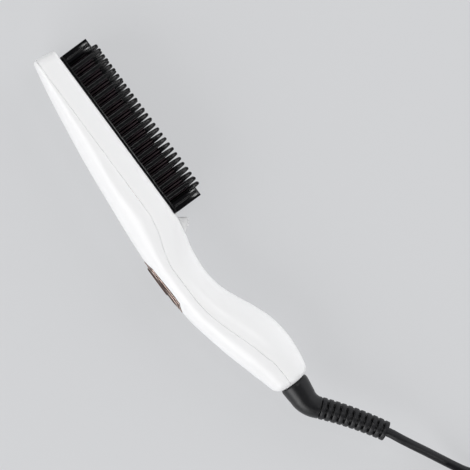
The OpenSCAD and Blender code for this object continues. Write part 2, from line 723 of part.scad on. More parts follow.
lead_r = 0.8;
lead_tap = 6; // from the board's end to where a lead is soldered
module heater_leads() color("#B02A20") for (s = [-1, 1]) {
    z = mid_z + s * lead_z;
    low = tray_floor - tray_wall - 1.6;
    tube(smooth([
        [board_x0 + lead_tap, board_y + board_t + lead_r + 0.05, z],
        [board_x0 - 2, board_y + board_t + 1.4, z],
        [mix(lead_x, board_x0, 0.6), low - 3.2, z],
        [mix(lead_x, board_x0, 0.3), low - 0.6, z],
        [lead_x + 3, low, z],
        [lead_x + 0.4, low + 1.6, z],
        [lead_x, tray_floor, z],
        [lead_x, plate_bottom - ptc_t - 0.15, z]], 2), lead_r, 6);
}

// The bulkhead that carries the swivel's brushes
block_x = x_end - 15;
block_t = 4;
module contact_block() color("#3A3A3E") difference() {
    translate([block_x, 0, mid_z]) rotate([0, 90, 0]) linear_extrude(height = block_t)
        polygon([for (p = inner_loop(block_x + block_t, slide_gap)) [-p[1], p[0]]]);
    translate([block_x - 1, swivel_y, mid_z]) rotate([0, 90, 0])
        cylinder(r = ring_r + 0.1, h = block_t + 2);
}
function inner_loop(x, gap) = concat(half_section(x, 1, wall + gap),
    [for (p = half_section(x, -1, wall + gap)) [p[0], -p[1]]]);

module power_leads() color("#2B4F9B") for (s = [-1, 1]) {
    z = mid_z + s * 5;
    tube(smooth([
        [board_x1 - lead_tap, board_y + board_t + lead_r + 0.05, z],
        [board_x1 + 2, board_y + board_t + 2, z],
        [mix(board_x1, block_x, 0.5), board_y + board_t + 6, z],
        [block_x - 5, swivel_y - 6, z],
        [block_x - 0.1, swivel_y - 5, z]], 2), lead_r, 6);
}

// ---- latch ----

// The tab's flank: ribs that lean towards the handle and get lower
function rib_top(k) = seat_y + tab_h - k * tab_h * 0.2;
module tab_plan() {
    lean = 0.68;
    step = tab_len * 0.66 / tab_ribs;
    base = seat_y + 0.35;
    polygon(concat([[tab_x, base]],
        [for (k = [0 : tab_ribs - 1]) each [
            [tab_x + k * step + lean * (rib_top(k) - base), rib_top(k)],
            [tab_x + (k + 0.75) * step + lean * (rib_top(k) - base), rib_top(k) - 0.1],
            [tab_x + (k + 0.85) * step + lean * (rib_top(k) - base - 0.9), rib_top(k) - 1]]],
        [[tab_x + tab_len, edge_at(tab_x + tab_len, 1) + 0.35]]));
}

module comb_latch() color(WHITE) {
    translate([0, 0, mid_z - tab_w / 2]) linear_extrude(height = tab_w) tab_plan();
    translate([latch_neck_x, latch_y0 + latch_t / 2, mid_z - latch_neck_w / 2])
        cube([latch_neck_l, seat_y - latch_y0, latch_neck_w]);
    translate([latch_x0 + 2, latch_y0, mid_z - 7])
        cube([latch_x1 - latch_x0 - 2, latch_t, 14]);
    translate([latch_x0, latch_y0, mid_z - 4]) cube([3, latch_t, 8]);
}

// The latch's return spring, which rests on the rib in the front shell
spring_turns = 5;
module latch_spring() color(METAL) {
    gap = 0.1;
    l = spring_len - 2 * gap - 2 * spring_wire;
    y = latch_y0 + latch_t / 2;
    tube([for (k = [0 : 8 * spring_turns]) let (a = 45 * k)
        [latch_x1 + gap + spring_wire + l * k / (8 * spring_turns),
            y + spring_r * cos(a), mid_z + spring_r * sin(a)]], spring_wire, 6, [1, 0, 0]);
}

// ---- screws ----

screw_len = 12;
function screw_tip_y(s) = seat_y - screw_head_t - (s < 0 ? screw_len - 0.5 : screw_len + 8);
module shell_screws() color(METAL) for (sx = [-1, 1], sz = [-1, 1]) {
    head_y = seat_y - screw_head_t;
    tip = screw_tip_y(sx);
    stand(sx * screw_x, tip, mid_z + sz * screw_z) cylinder(r = screw_r, h = head_y - tip);
    difference() {
        stand(sx * screw_x, head_y, mid_z + sz * screw_z)
            cylinder(r = screw_head_r, h = screw_head_t - fit_gap);
        stand(sx * screw_x, head_y + 0.6, mid_z + sz * screw_z) cylinder(r = 1, h = 3, $fn = 6);
    }
}

// ---- swivel and cord ----

ring_r = 4;
module along_swivel(x) translate([x, swivel_y, mid_z]) rotate([0, 90, 0]) children();

elbow_x = x_end + slide_gap;
module swivel_collar() color(BLACK) {
    along_swivel(flange_x1 - collar_flange_t) cylinder(r = flange_r, h = collar_flange_t);
    along_swivel(flange_x1 - 0.1) cylinder(r = swivel_r - 0.1, h = elbow_x - flange_x1 + 0.1);
    along_swivel(block_x - 1) cylinder(r = ring_r - 1, h = flange_x1 - block_x);
}

module slip_rings() color(BRASS) for (k = [0, 1]) difference() {
    along_swivel(block_x + 0.5 + 1.8 * k) cylinder(r = ring_r, h = 1.2);
    along_swivel(block_x) cylinder(r = ring_r - 1, h = block_t);
}

// The elbow runs straight with a slight dip, narrows, and turns towards the teeth's side
elbow_straight = 11;
elbow_dip = 0.5;
elbow_level = 0.12;
elbow_lip = 1.5;
elbow_end_r = relief_r - 0.1;
elbow_steps = 6;
function elbow_point(a) = [elbow_x + elbow_straight + elbow_bend * sin(a),
    swivel_y - elbow_dip + elbow_bend * (1 - cos(a)), mid_z];
relief_at = elbow_point(elbow_turn) + elbow_lip * heading(elbow_turn);
ELBOW_PATH = concat(
    [for (u = [0, elbow_level, 0.5, 0.8])
        [elbow_x + elbow_straight * u, swivel_y - elbow_dip * max(0, u - elbow_level), mid_z]],
    [for (k = [0 : elbow_steps]) elbow_point(elbow_turn * k / elbow_steps)], [relief_at]);
ELBOW_R = concat(
    [elbow_r - 0.5, elbow_r, elbow_r - 0.3, elbow_r - 0.7],
    [for (k = [0 : elbow_steps]) mix(elbow_r - 0.9, elbow_end_r, k / elbow_steps)],
    [elbow_end_r]);
module cord_elbow() color(BLACK) tube(ELBOW_PATH, ELBOW_R, 24);

relief_core = cord_d / 2 + 0.9;
relief_web = 7.8;
relief_notch = 0.55;
relief_root = 0.8;
relief_step = (relief_len + relief_slot / 2) / relief_ribs;
relief_rib = relief_step - relief_slot;

// The strain relief bends back on an arc: its direction, centre and radius at a length s along it
function relief_angle(s) = elbow_turn - relief_droop * s / relief_len;
function relief_point(s) = let (r = relief_len / (relief_droop * PI / 180))
    relief_at + r * (heading(relief_angle(s) + 90) - heading(elbow_turn + 90));
function rib_r(s) = mix(relief_r, relief_end_r, s / relief_len);
module along_relief(s)
    translate(relief_point(s)) rotate([0, 0, relief_angle(s)]) rotate([0, 90, 0]) children();

// Slotted sleeve: rings joined by a core and by a web on either side
module strain_relief() color(BLACK) for (k = [0 : relief_ribs - 1]) {
    along_relief((k + 0.5) * relief_step) translate([0, 0, -relief_rib / 2])
        cylinder(r = rib_r((k + 0.5) * relief_step), h = relief_rib);
    along_relief(k * relief_step) relief_neck(
        rib_r(k * relief_step) - relief_notch, k == 0 ? 0 : relief_slot / 2 + relief_root);
}

// What joins two rings, from a depth in the ring behind to one in the ring ahead
module relief_neck(r, behind) translate([0, 0, -behind]) {
    h = behind + relief_slot / 2 + relief_root;
    cylinder(r = relief_core, h = h);
    intersection() {
        cylinder(r = r, h = h);
        translate([-relief_web / 2, -r, 0]) cube([relief_web, 2 * r, h]);
    }
}

// The put-away length: loops that spiral in and out again, in four layers
coil_at = [334, 51.6];
coil_in = 20.5;
coil_step = cord_d + 0.5;
coil_layers = 4;
coil_layer_turns = 2.375;
coil_start = 144;
coil_z = cord_d / 2 + 0.9;
coil_turns = coil_layers * coil_layer_turns;
coil_out = coil_in + coil_step * coil_layer_turns;
function fold(t) = let (u = t % 2) u < 1 ? 1 - u : u - 1;
function ease(u) = let (c = min(1, max(0, u))) c * c * (3 - 2 * c);
// Each layer is climbed in the half turn where the spiral reverses
function layer_at(t) = sum([for (k = [1 : coil_layers - 1])
    ease((t - k * coil_layer_turns) / 0.5 + 0.5)]);
function coil_point(t) =
    let (r = coil_in + coil_step * coil_layer_turns * fold(t / coil_layer_turns),
        a = coil_start - 360 * t)
    [coil_at[0] + r * cos(a), coil_at[1] + r * sin(a), coil_z + coil_step * layer_at(t)];
function coil_way(t) = heading(coil_start - 360 * t - 90);
loop_rings = 24;
coil_entry = coil_point(0) - cord_d * coil_way(0);
coil_exit = coil_point(coil_turns) + cord_d * coil_way(coil_turns);
COIL_PATH = concat([coil_entry],
    [for (k = [0 : coil_turns * loop_rings]) coil_point(k / loop_rings)], [coil_exit]);
// The cord's route, chosen by hand: out of the relief and down to the table
last_rib = (relief_ribs - 0.5) * relief_step;
cord_out_way = heading(relief_angle(last_rib));
cord_out = relief_point(last_rib) + relief_rib / 2 * cord_out_way;
CORD_ROUTE = [
    cord_out + 4 * cord_out_way,
    [250, 37.5, 21.4],
    [258, 41.3, 18.6],
    [267, 45.6, 14],
    [277, 50.2, 9],
    [286.5, 54.8, 5.8],
    [291.3, 57.4, 4.6],
    [295.4, 60.4, 4],
    coil_entry - 3 * coil_way(0)];
LEAD_PATH = concat([cord_out], smooth(CORD_ROUTE, 2), [coil_entry]);
module cord_lead() color(BLACK) tube(LEAD_PATH, cord_d / 2, 8);

module cord_coil() color(BLACK) tube(COIL_PATH, cord_d / 2, 6);

// The least gap between the turns, measured on the points of the coil
coil_gap = min([for (i = [0 : len(COIL_PATH) - 1], j = [i + loop_rings / 2 : 1 : len(COIL_PATH) - 1])
    norm(COIL_PATH[i] - COIL_PATH[j])]) - cord_d;
echo(coil_gap = coil_gap);

// From the coil to the plug
plug_way = 205;
plug_at = [328.5, -3.5, plug_t / 2];
plug_dir = heading(plug_way);
TAIL_ROUTE = [
    coil_exit + 2 * coil_way(coil_turns),
    coil_exit + 6 * coil_way(coil_turns),
    [352.9, 17.2, 20.9],
    [349.2, 11.9, 18.6],
    [344, 6.4, 14.8],
    [338.6, 1.9, 10.6],
    plug_at - 5 * plug_dir + [0, 0, 0.2],
    plug_at - 2 * plug_dir];
TAIL_PATH = concat([coil_exit], smooth(TAIL_ROUTE, 2), [plug_at]);
module cord_tail() color(BLACK) tube(TAIL_PATH, cord_d / 2, 8);

// A strap that holds the coil together
tie_t = 0.7;
tie_w = 11;
tie_angle = 62;
module coil_tie() color("#2A2A2D") {
    r0 = coil_in - cord_d / 2 - 1.2;
    r1 = coil_out + cord_d / 2 + 0.4;
    h = coil_z + coil_step * (coil_layers - 1) + cord_d / 2 + 0.3;
    translate([coil_at[0], coil_at[1], 0]) rotate([0, 0, tie_angle]) translate([0, tie_w / 2, 0])
        rotate([90, 0, 0]) linear_extrude(height = tie_w) difference() {
            translate([r0 - tie_t, 0]) square([r1 - r0 + 2 * tie_t, h + tie_t]);
            translate([r0, tie_t]) square([r1 - r0, h - tie_t]);
        }
}

module along_plug() translate(plug_at) rotate([0, 0, plug_way]) children();
module plug_body() color(BLACK) along_plug() difference() {
    union() {
        translate([plug_len * 0.3, 0, -plug_t / 2]) linear_extrude(height = plug_t) hull() {
            for (s = [-1, 1]) {
                translate([0.5, s * 4.5]) circle(r = 2);
                translate([plug_len * 0.36, s * (plug_w / 2 - 4)]) circle(r = 4);
                translate([plug_len * 0.7 - 2, s * (plug_w / 2 - 4)]) circle(r = 2);
            }
        }
        rotate([0, 90, 0]) cylinder(r1 = cord_d / 2 + 1, r2 = 4.6, h = plug_len * 0.34);
    }
    for (s = [-1, 1]) translate([plug_len - pin_root, s * pin_pitch / 2, 0]) rotate([0, 90, 0])
        cylinder(r = pin_root_r, h = pin_root + 1);
}

pin_root = 8;
pin_root_r = pin_r - 0.4;
module plug_pins() color(METAL) along_plug() for (s = [-1, 1])
    translate([plug_len - pin_root, s * pin_pitch / 2, 0]) rotate([0, 90, 0]) {
        cylinder(r = pin_root_r, h = pin_root + 1);
        translate([0, 0, pin_root]) cylinder(r = pin_r, h = pin_len - 1);
        translate([0, 0, pin_root + pin_len - 1]) cylinder(r1 = pin_r, r2 = pin_r - 0.7, h = 1);
    }

front_shell();
back_shell();
button_trim();
power_button();
switch_plunger();
tact_switch();
status_light();
circuit_board();
board_parts();
board_screws();
comb_frame();
heating_plate();
ptc_heater();
heater_clamp();
heat_shield();
thermostat();
thermal_fuse();
heater_leads();
power_leads();
comb_latch();
latch_spring();
shell_screws();
contact_block();
slip_rings();
swivel_collar();
cord_elbow();
strain_relief();
cord_lead();
cord_coil();
cord_tail();
coil_tie();
plug_body();
plug_pins();
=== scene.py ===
"""Heated straightening comb, lying on its flank: the pieces, their finishes and the stage.

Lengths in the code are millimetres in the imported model's frame, and metres in the properties.
+X runs from the tip to the cord, +Y is where the teeth point, +Z is up.
"""

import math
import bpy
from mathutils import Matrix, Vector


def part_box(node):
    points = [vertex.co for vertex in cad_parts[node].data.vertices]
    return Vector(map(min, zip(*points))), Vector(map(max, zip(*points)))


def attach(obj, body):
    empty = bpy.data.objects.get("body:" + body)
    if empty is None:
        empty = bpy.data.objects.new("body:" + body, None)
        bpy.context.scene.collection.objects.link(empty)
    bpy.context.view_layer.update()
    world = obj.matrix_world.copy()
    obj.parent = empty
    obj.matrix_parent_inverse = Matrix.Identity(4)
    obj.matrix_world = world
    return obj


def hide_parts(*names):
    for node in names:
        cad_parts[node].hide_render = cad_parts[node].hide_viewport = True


bl_info = {
    "name": "Heated Comb",
    "version": (1, 0, 0),
    "blender": (4, 5, 0),
    "location": "3D View > Sidebar > Comb",
    "description": "Makes a heated straightening comb with its cord, and a pale stage",
    "category": "Add Mesh",
}

import bmesh
import bpy
from mathutils import Matrix, Vector

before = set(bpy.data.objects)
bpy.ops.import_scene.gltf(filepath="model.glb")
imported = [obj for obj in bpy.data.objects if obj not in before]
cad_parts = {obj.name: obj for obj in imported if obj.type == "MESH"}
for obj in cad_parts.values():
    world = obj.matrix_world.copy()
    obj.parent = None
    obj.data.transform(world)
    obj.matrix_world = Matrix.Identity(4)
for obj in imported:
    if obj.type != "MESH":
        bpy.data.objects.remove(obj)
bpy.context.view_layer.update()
MM = 0.001


# ---- small helpers ----------------------------------------------------------------


def linear(code):
    """An sRGB hex colour as linear red, green, blue and alpha."""
    values = [int(code[i : i + 2], 16) / 255 for i in (1, 3, 5)]
    return tuple(v / 12.92 if v <= 0.04045 else ((v + 0.055) / 1.055) ** 2.4 for v in values) + (1.0,)


def mix(a, b, t):
    return a + (b - a) * t


def add(tree, kind, inputs=None, **settings):
    """Adds a node with its settings. An input is a value, or a socket to link from."""
    made = tree.nodes.new(kind)
    for key, value in settings.items():
        setattr(made, key, value)
    for key, value in (inputs or {}).items():
        if isinstance(value, bpy.types.NodeSocket):
            tree.links.new(value, made.inputs[key])
        else:
            made.inputs[key].default_value = value
    return made


def maths(tree, operation, a, b=0.0):
    """The result of a calculation on two values or sockets."""
    return add(tree, "ShaderNodeMath", {0: a, 1: b}, operation=operation).outputs[0]


def length(name, text, default, **more):
    return bpy.props.FloatProperty(
        name=name, description=text, default=default, min=0.0, unit="LENGTH", precision=5, **more
    )


def colour(name, text, code):
    return bpy.props.FloatVectorProperty(
        name=name, description=text, subtype="COLOR", size=4, min=0.0, max=1.0, default=linear(code)
    )


# ---- what a user would change -----------------------------------------------------


class HousingProps(bpy.types.PropertyGroup):
    wall: length("Wall", "Wall of the two shells", 0.002)
    part_gap: length("Parting gap", "Width of the groove between the shells", 0.0001)
    part_edge: length("Parting edge", "Rounding of the shells' edges at the groove", 0.00022)
    white: colour("White", "Colour of the shells and the thumb tab", "#F6F6F6")


class CombProps(bpy.types.PropertyGroup):
    tooth_height: length("Tooth height", "Height of the teeth above the head", 0.023)
    tooth_radius: length("Tooth radius", "Radius of a tooth along its shaft", 0.00175)
    tip_radius: length("Tip radius", "Radius of a tooth's rounded tip", 0.00105)
    outer_teeth: bpy.props.IntProperty(
        name="Outer teeth", description="Number of teeth in each outer row", default=14, min=2
    )
    fin_height: length("Fin height", "Height of the heated fins above the head", 0.0155)
    fin_thickness: length("Fin thickness", "Thickness of a heated fin", 0.0009)
    black: colour("Black", "Colour of the comb's teeth", "#08080A")
    heat_coat: colour("Heat coat", "Colour of the coat on the heated fins", "#43343A")


class ButtonProps(bpy.types.PropertyGroup):
    button_length: length("Button length", "Length of the button", 0.0204)
    button_width: length("Button width", "Width of the button", 0.0084)
    copper: colour("Copper", "Colour of the plated trim and button", "#5E453D")
    # The pale colour of the raised lines on the trim is a painted highlight along its ridges.
    line: colour("Copper lines", "Colour of the bright lines on the trim", "#F0DACF")


class CordProps(bpy.types.PropertyGroup):
    cord_diameter: length("Cord diameter", "Diameter of the mains cord", 0.0057)
    relief_ribs: bpy.props.IntProperty(
        name="Relief ribs", description="Number of ribs on the strain relief", default=11, min=3
    )
    relief_slot: length("Relief slot", "Width of the slots between the ribs", 0.0013)
    jacket: colour("Jacket", "Colour of the cord, its relief and the plug", "#17171A")


class StageProps(bpy.types.PropertyGroup):
    floor: colour("Floor", "Colour of the floor", "#D3D4D6")
    camera_distance: length("Camera distance", "Height of the camera over the comb", 1.25)
    picture_width: length("Picture width", "What the picture shows from side to side", 0.2848)
    key_power: bpy.props.FloatProperty(
        name="Key light", description="Power of the light on the back", default=13.1, unit="POWER"
    )


# ---- materials --------------------------------------------------------------------

MADE = {}
# A wave texture at this scale repeats once in each unit.
WAVE = 0.31


class Finish:
    """A material with a Principled shader, and patterns on Object coordinates in millimetres."""

    def __init__(self, name, base, roughness, metallic=0.0, ior=1.5, **sockets):
        self.material = MADE[name] = bpy.data.materials.new(name)
        self.material.use_nodes = True
        self.tree = self.material.node_tree
        self.tree.nodes.clear()
        plain = {"Base Color": base, "Roughness": roughness, "Metallic": metallic, "IOR": ior}
        self.shader = self.add("BsdfPrincipled", {**plain, **sockets})
        self.output = self.add("OutputMaterial", {"Surface": self.shader.outputs[0]})
        place = self.add("TexCoord").outputs["Object"]
        self.place = self.add("VectorMath", {0: place, 3: 1 / MM}, operation="SCALE").outputs[0]

    def add(self, kind, inputs=None, **settings):
        return add(self.tree, "ShaderNode" + kind, inputs, **settings)

    def noise(self, size_mm, detail=2.0, stretch=(1, 1, 1)):
        """Noise whose grains are about size_mm across, stretched along an axis."""
        vector = self.add("VectorMath", {0: self.place, 1: stretch}, operation="MULTIPLY").outputs[0]
        return self.add("TexNoise", {"Vector": vector, "Scale": 1 / size_mm, "Detail": detail}).outputs[0]

    def wave(self, size_mm, axis, **inputs):
        """Bands about size_mm apart across an axis."""
        settings = {"Vector": self.place, "Scale": WAVE / size_mm, **inputs}
        return self.add("TexWave", settings, bands_direction=axis).outputs[1]

    def rough(self, pattern, smoothest, roughest):
        """Maps 0.3 to 0.7 of a pattern onto a range of roughness."""
        settings = {0: pattern, 1: 0.3, 2: 0.7, 3: smoothest, 4: roughest}
        self.tree.links.new(self.add("MapRange", settings).outputs[0], self.shader.inputs["Roughness"])

    def bump(self, pattern, depth_mm, strength=0.5):
        settings = {"Height": pattern, "Distance": depth_mm * MM, "Strength": strength}
        self.tree.links.new(self.add("Bump", settings).outputs[0], self.shader.inputs["Normal"])

    def tint(self, pattern, dark, light):
        """Mixes the base colour from two by a pattern."""
        mixed = self.add("Mix", {0: pattern, 6: dark, 7: light}, data_type="RGBA").outputs[2]
        self.tree.links.new(mixed, self.shader.inputs["Base Color"])


# Name, colour, metallic, the grain's size, detail and stretch, and its roughness from and to.
GRAINED = [
    # Nickel-plated brass pins: pale warm metal with fine turning marks.
    ("nickel_plate", "#C8C4BA", 1.0, (0.3, 1.0, (1, 1, 0.1)), 0.18, 0.34),
    # Zinc-plated steel: bluish grey with a cloudy passivation.
    ("zinc_plated_steel", "#B4B8BD", 1.0, (1.5, 3.0), 0.26, 0.44),
    # Bare brass, rolled and slightly dulled.
    ("rolled_brass", "#D3B063", 1.0, (0.8, 2.0, (0.2, 1, 1)), 0.24, 0.42),
    # Extruded aluminium case with a mill finish along its length.
    ("mill_aluminium", "#D4D5D6", 1.0, (0.4, 2.0, (0.04, 1, 1)), 0.28, 0.46),
    # Moulded epoxy and plastic cases of the components.
    ("component_cases", "#2A2C30", 0.0, (0.4, 1.0), 0.42, 0.6),
    # Blue wire insulation, extruded and smooth.
    ("blue_wire_insulation", "#2C55A8", 0.0, (0.6, 1.0, (0.1, 1, 1)), 0.32, 0.46),
]


def make_materials(white, comb, button, cord):
    """Every finish of the comb, named for what it is."""
    for name, code, metallic, grain, smoothest, roughest in GRAINED:
        look = Finish(name, linear(code), smoothest, metallic)
        look.rough(look.noise(*grain), smoothest, roughest)
    # Injection-moulded glossy ABS: bright, with a hard clear shine and a faint orange-peel wave.
    look = Finish("glossy_white_abs", white.white, 0.32, ior=1.54)
    look.rough(look.noise(5.0), 0.29, 0.36)
    look.bump(look.noise(1.6, 3.0), 0.012)
    # Glass-filled nylon from a polished mould: deep black with sharp small highlights.
    look = Finish("polished_black_nylon", comb.black, 0.17, ior=1.53)
    look.rough(look.noise(3.0, 3.0, (1, 0.25, 1)), 0.13, 0.21)
    look.bump(look.noise(0.8), 0.008)
    # Sprayed ceramic coat on cast aluminium: dark plum brown, satin, with fine darker specks.
    look = Finish("brown_ceramic_coat", comb.heat_coat, 0.4)
    specks = look.noise(0.45, 1.0)
    look.tint(specks, linear("#2A2025"), comb.heat_coat)
    look.bump(specks, 0.03, 0.6)
    # Copper-plated ABS, brushed lightly along the handle under a brown lacquer.
    look = Finish("plated_copper_trim", button.copper, 0.28, 1.0)
    strokes = look.noise(0.35, 2.0, (0.05, 1, 1))
    look.rough(strokes, 0.22, 0.36)
    look.tint(strokes, linear("#4A352E"), button.copper)
    # Copper plate on the raised lines of the trim, whose pale colour is a painted highlight along the
    # trim's ridges.
    look = Finish("copper_line_painted_highlight", button.line, 0.2, 1.0)
    look.rough(look.noise(0.6, 2.0, (0.1, 1, 1)), 0.15, 0.28)
    # Spark-eroded black plastic: a fine even grain that spreads the highlight.
    look = Finish("satin_black_plastic", linear("#151517"), 0.34)
    grain = look.noise(0.35, 1.0)
    look.rough(grain, 0.32, 0.42)
    look.bump(grain, 0.02)
    # Soft PVC, as on mains cords: dark grey-black, slightly oily, with long drawn ripples.
    look = Finish("soft_black_pvc", cord.jacket, 0.42)
    ripple = look.noise(1.2)
    look.tint(ripple, linear("#101012"), cord.jacket)
    look.rough(ripple, 0.36, 0.5)
    look.bump(look.noise(0.5), 0.02)
    # Woven hook-and-loop tape: 0.5 mm threads, drawn at 0.8 mm so that they show.
    look = Finish("woven_strap", linear("#232327"), 0.9, **{"Sheen Weight": 0.4})
    threads = [look.wave(0.8, axis, Distortion=0.3, Detail=1.0) for axis in ("X", "Y", "Z")]
    first = maths(look.tree, "ADD", threads[0], threads[1])
    look.bump(maths(look.tree, "ADD", first, threads[2]), 0.08, 0.6)
    look.tint(threads[0], linear("#18181B"), linear("#2E2E33"))
    # Mica-filled heat-resistant plastic: chalky beige with glinting flakes.
    look = Finish("mica_filled_plastic", linear("#CDBF9F"), 0.62)
    flakes = look.add("TexVoronoi", {"Vector": look.place, "Scale": 1 / 0.9}).outputs["Distance"]
    look.tint(flakes, linear("#D9CDB0"), linear("#B9A985"))
    # Glass-fibre board under green solder mask: the weave shows as a fine grid.
    look = Finish("green_solder_mask", linear("#1F5A38"), 0.3)
    look.tint(look.wave(0.5, "X", Distortion=0.4), linear("#1A4E30"), linear("#27693F"))
    # Silicone sleeve: soft red, waxy and dusty.
    look = Finish("red_silicone", linear("#A93226"), 0.55)
    look.tint(look.noise(0.7), linear("#8F2A20"), linear("#B8402F"))
    # Clear acrylic light guide with a polished end.
    look = Finish("clear_acrylic", linear("#EAF4F8"), 0.12, ior=1.49, **{"Transmission Weight": 0.7})
    look.rough(look.noise(0.8), 0.08, 0.2)


# ---- making meshes ----------------------------------------------------------------


def placed(name, data):
    """A new object in the scene."""
    made = bpy.data.objects.new(name, data)
    bpy.context.scene.collection.objects.link(made)
    return made


def smoothed(mesh, shade):
    """Shades a mesh smooth up to an angle in degrees."""
    mesh.shade_smooth()
    mesh.set_sharp_from_angle(angle=math.radians(shade))


def piece(name, verts, faces, shade=35.0):
    """A mesh object from millimetres, with its faces turned outwards."""
    mesh = bpy.data.meshes.new(name)
    mesh.from_pydata([Vector(v) * MM for v in verts], [], faces)
    made = placed(name, mesh)
    tidy(made, shade)
    return made


def tidy(made, shade):
    """Merges doubles, turns faces outwards, and shades smooth up to an angle."""
    work = bmesh.new()
    work.from_mesh(made.data)
    bmesh.ops.remove_doubles(work, verts=work.verts, dist=1e-6)
    bmesh.ops.recalc_face_normals(work, faces=work.faces)
    work.to_mesh(made.data)
    work.free()
    smoothed(made.data, shade)


def applied(made, shade=35.0):
    """Turns the object's modifiers into its plain mesh."""
    bpy.context.view_layer.update()
    graph = bpy.context.evaluated_depsgraph_get()
    mesh = bpy.data.meshes.new_from_object(made.evaluated_get(graph))
    old = made.data
    made.modifiers.clear()
    made.data = mesh
    bpy.data.meshes.remove(old)
    mesh.name = made.name
    smoothed(mesh, shade)
    return made


def bevelled(made, width_mm, segments=3, angle=35.0, shade=40.0):
    bevel = made.modifiers.new("edges", "BEVEL")
    bevel.width = width_mm * MM
    bevel.segments = segments
    bevel.limit_method = "ANGLE"
    bevel.angle_limit = math.radians(angle)
    bevel.miter_outer = "MITER_ARC"
    return applied(made, shade)


def joined(name, parts, shade=35.0):
    """Several mesh objects as one."""
    work = bmesh.new()
    for part in parts:
        work.from_mesh(part.data)
    mesh = bpy.data.meshes.new(name)
    work.to_mesh(mesh)
    work.free()
    for part in parts:
        bpy.data.objects.remove(part)
    smoothed(mesh, shade)
    return placed(name, mesh)


def cut(made, cutters, shade=35.0):
    """Cuts shapes out of a piece and removes them."""
    for cutter in cutters:
        boolean = made.modifiers.new("cut", "BOOLEAN")
        boolean.operation = "DIFFERENCE"
        boolean.solver = "EXACT"
        boolean.object = cutter
    applied(made, shade)
    for cutter in cutters:
        bpy.data.objects.remove(cutter)
    return made


def rides(made, body, slot, material, *nodes):
    """Gives a finished piece its material, its body and the CAD nodes that it stands for."""
    made.data.materials.clear()
    made.data.materials.append(MADE[material])
    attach(made, body)
    if nodes:
        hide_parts(*nodes)
    return made


def block(name, a, b):
    """A box between two corners."""
    verts = [(x, y, z) for x in (a[0], b[0]) for y in (a[1], b[1]) for z in (a[2], b[2])]
    faces = [(0, 1, 3, 2), (4, 6, 7, 5), (0, 4, 5, 1), (2, 3, 7, 6), (0, 2, 6, 4), (1, 5, 7, 3)]
    return piece(name, verts, faces)


def bands(count, pairs):
    """Quads between pairs of closed rings, each of count points."""
    return [
        (a * count + i, a * count + (i + 1) % count, b * count + (i + 1) % count, b * count + i)
        for a, b in pairs
        for i in range(count)
    ]


def lofted(name, rings, shade=35.0):
    """A body through closed rings of points that follow each other, filled at both ends."""
    count, last = len(rings[0]), len(rings) - 1
    faces = [tuple(range(count)), tuple(range(last * count, (last + 1) * count))]
    faces += bands(count, [(i, i + 1) for i in range(last)])
    return piece(name, [v for row in rings for v in row], faces, shade)


def prism(name, outline, y0, y1, shade=35.0):
    """A plan in X and Z raised from y0 to y1."""
    return lofted(name, [[(x, y, z) for x, z in outline] for y in (y0, y1)], shade)


def slab(name, outline, z0, z1):
    """A plan in X and Y raised from z0 to z1."""
    return lofted(name, [[(x, y, z) for x, y in outline] for z in (z0, z1)])


def turned(name, profile, origin, axis, sides=48, shade=35.0):
    """A profile of (distance along the axis, radius) turned about an axis."""
    along = Vector(axis).normalized()
    side = along.orthogonal().normalized()
    other = along.cross(side)
    rings = []
    for d, r in profile:
        angles = [math.tau * k / sides for k in range(sides)]
        rays = [side * math.cos(a) + other * math.sin(a) for a in angles]
        rings.append([Vector(origin) + along * d + ray * r for ray in rays])
    return lofted(name, rings, shade)


def stadium(centre, span, width, steps=16):
    """A long rounded outline in X and Z."""
    reach = (span - width) / 2
    outline = []
    r = width / 2
    for s in (1, -1):
        for k in range(steps + 1):
            a = math.radians(-90 + 180 * k / steps)
            outline.append((centre[0] + s * (reach + r * math.cos(a)), centre[1] + s * r * math.sin(a)))
    return outline


def rounded(x0, x1, z0, z1, radius, steps=6):
    """A rectangle's outline in X and Z with rounded corners."""
    outline = []
    corners = ((x1, z1, 0), (x0, z1, 90), (x0, z0, 180), (x1, z0, 270))
    for x, z, start in corners:
        cx = x - radius if x == x1 else x + radius
        cz = z - radius if z == z1 else z + radius
        for k in range(steps + 1):
            a = math.radians(start + 90 * k / steps)
            outline.append((cx + radius * math.cos(a), cz + radius * math.sin(a)))
    return outline


# ---- Geometry Nodes ---------------------------------------------------------------


def geometry_tree(name, inputs):
    """A Geometry Nodes tree with named inputs, as (tree, its input node)."""
    tree = bpy.data.node_groups.new(name, "GeometryNodeTree")
    face = tree.interface
    face.new_socket("Geometry", in_out="OUTPUT", socket_type="NodeSocketGeometry")
    face.new_socket("Geometry", in_out="INPUT", socket_type="NodeSocketGeometry")
    for label, kind in inputs:
        face.new_socket(label, in_out="INPUT", socket_type="NodeSocket" + kind)
    return tree, add(tree, "NodeGroupInput")


def end_tree(tree, geometry, material):
    """Ends a tree in real meshes with their material."""
    real = add(tree, "GeometryNodeRealizeInstances", {0: geometry})
    dressed = add(tree, "GeometryNodeSetMaterial", {0: real.outputs[0], "Material": material})
    add(tree, "NodeGroupOutput", {0: dressed.outputs[0]})


def grown(made, tree, shade=35.0, **values):
    """Runs a tree on an object and keeps the result as its plain mesh."""
    modifier = made.modifiers.new(tree.name, "NODES")
    modifier.node_group = tree
    sockets = {s.name: s.identifier for s in tree.interface.items_tree if s.in_out == "INPUT"}
    for label, value in values.items():
        modifier[sockets[label]] = value
    return applied(made, shade)


def copies_along_x(tree, given, start):
    """A node that sets Count copies of the shape along X, a Pitch apart."""
    step = add(tree, "ShaderNodeCombineXYZ", {0: given.outputs["Pitch"]}).outputs[0]
    settings = {"Count": given.outputs["Count"], "Start Location": start, "Offset": step}
    line = add(tree, "GeometryNodeMeshLine", settings).outputs[0]
    shape = {"Points": line, "Instance": given.outputs["Geometry"]}
    return add(tree, "GeometryNodeInstanceOnPoints", shape)


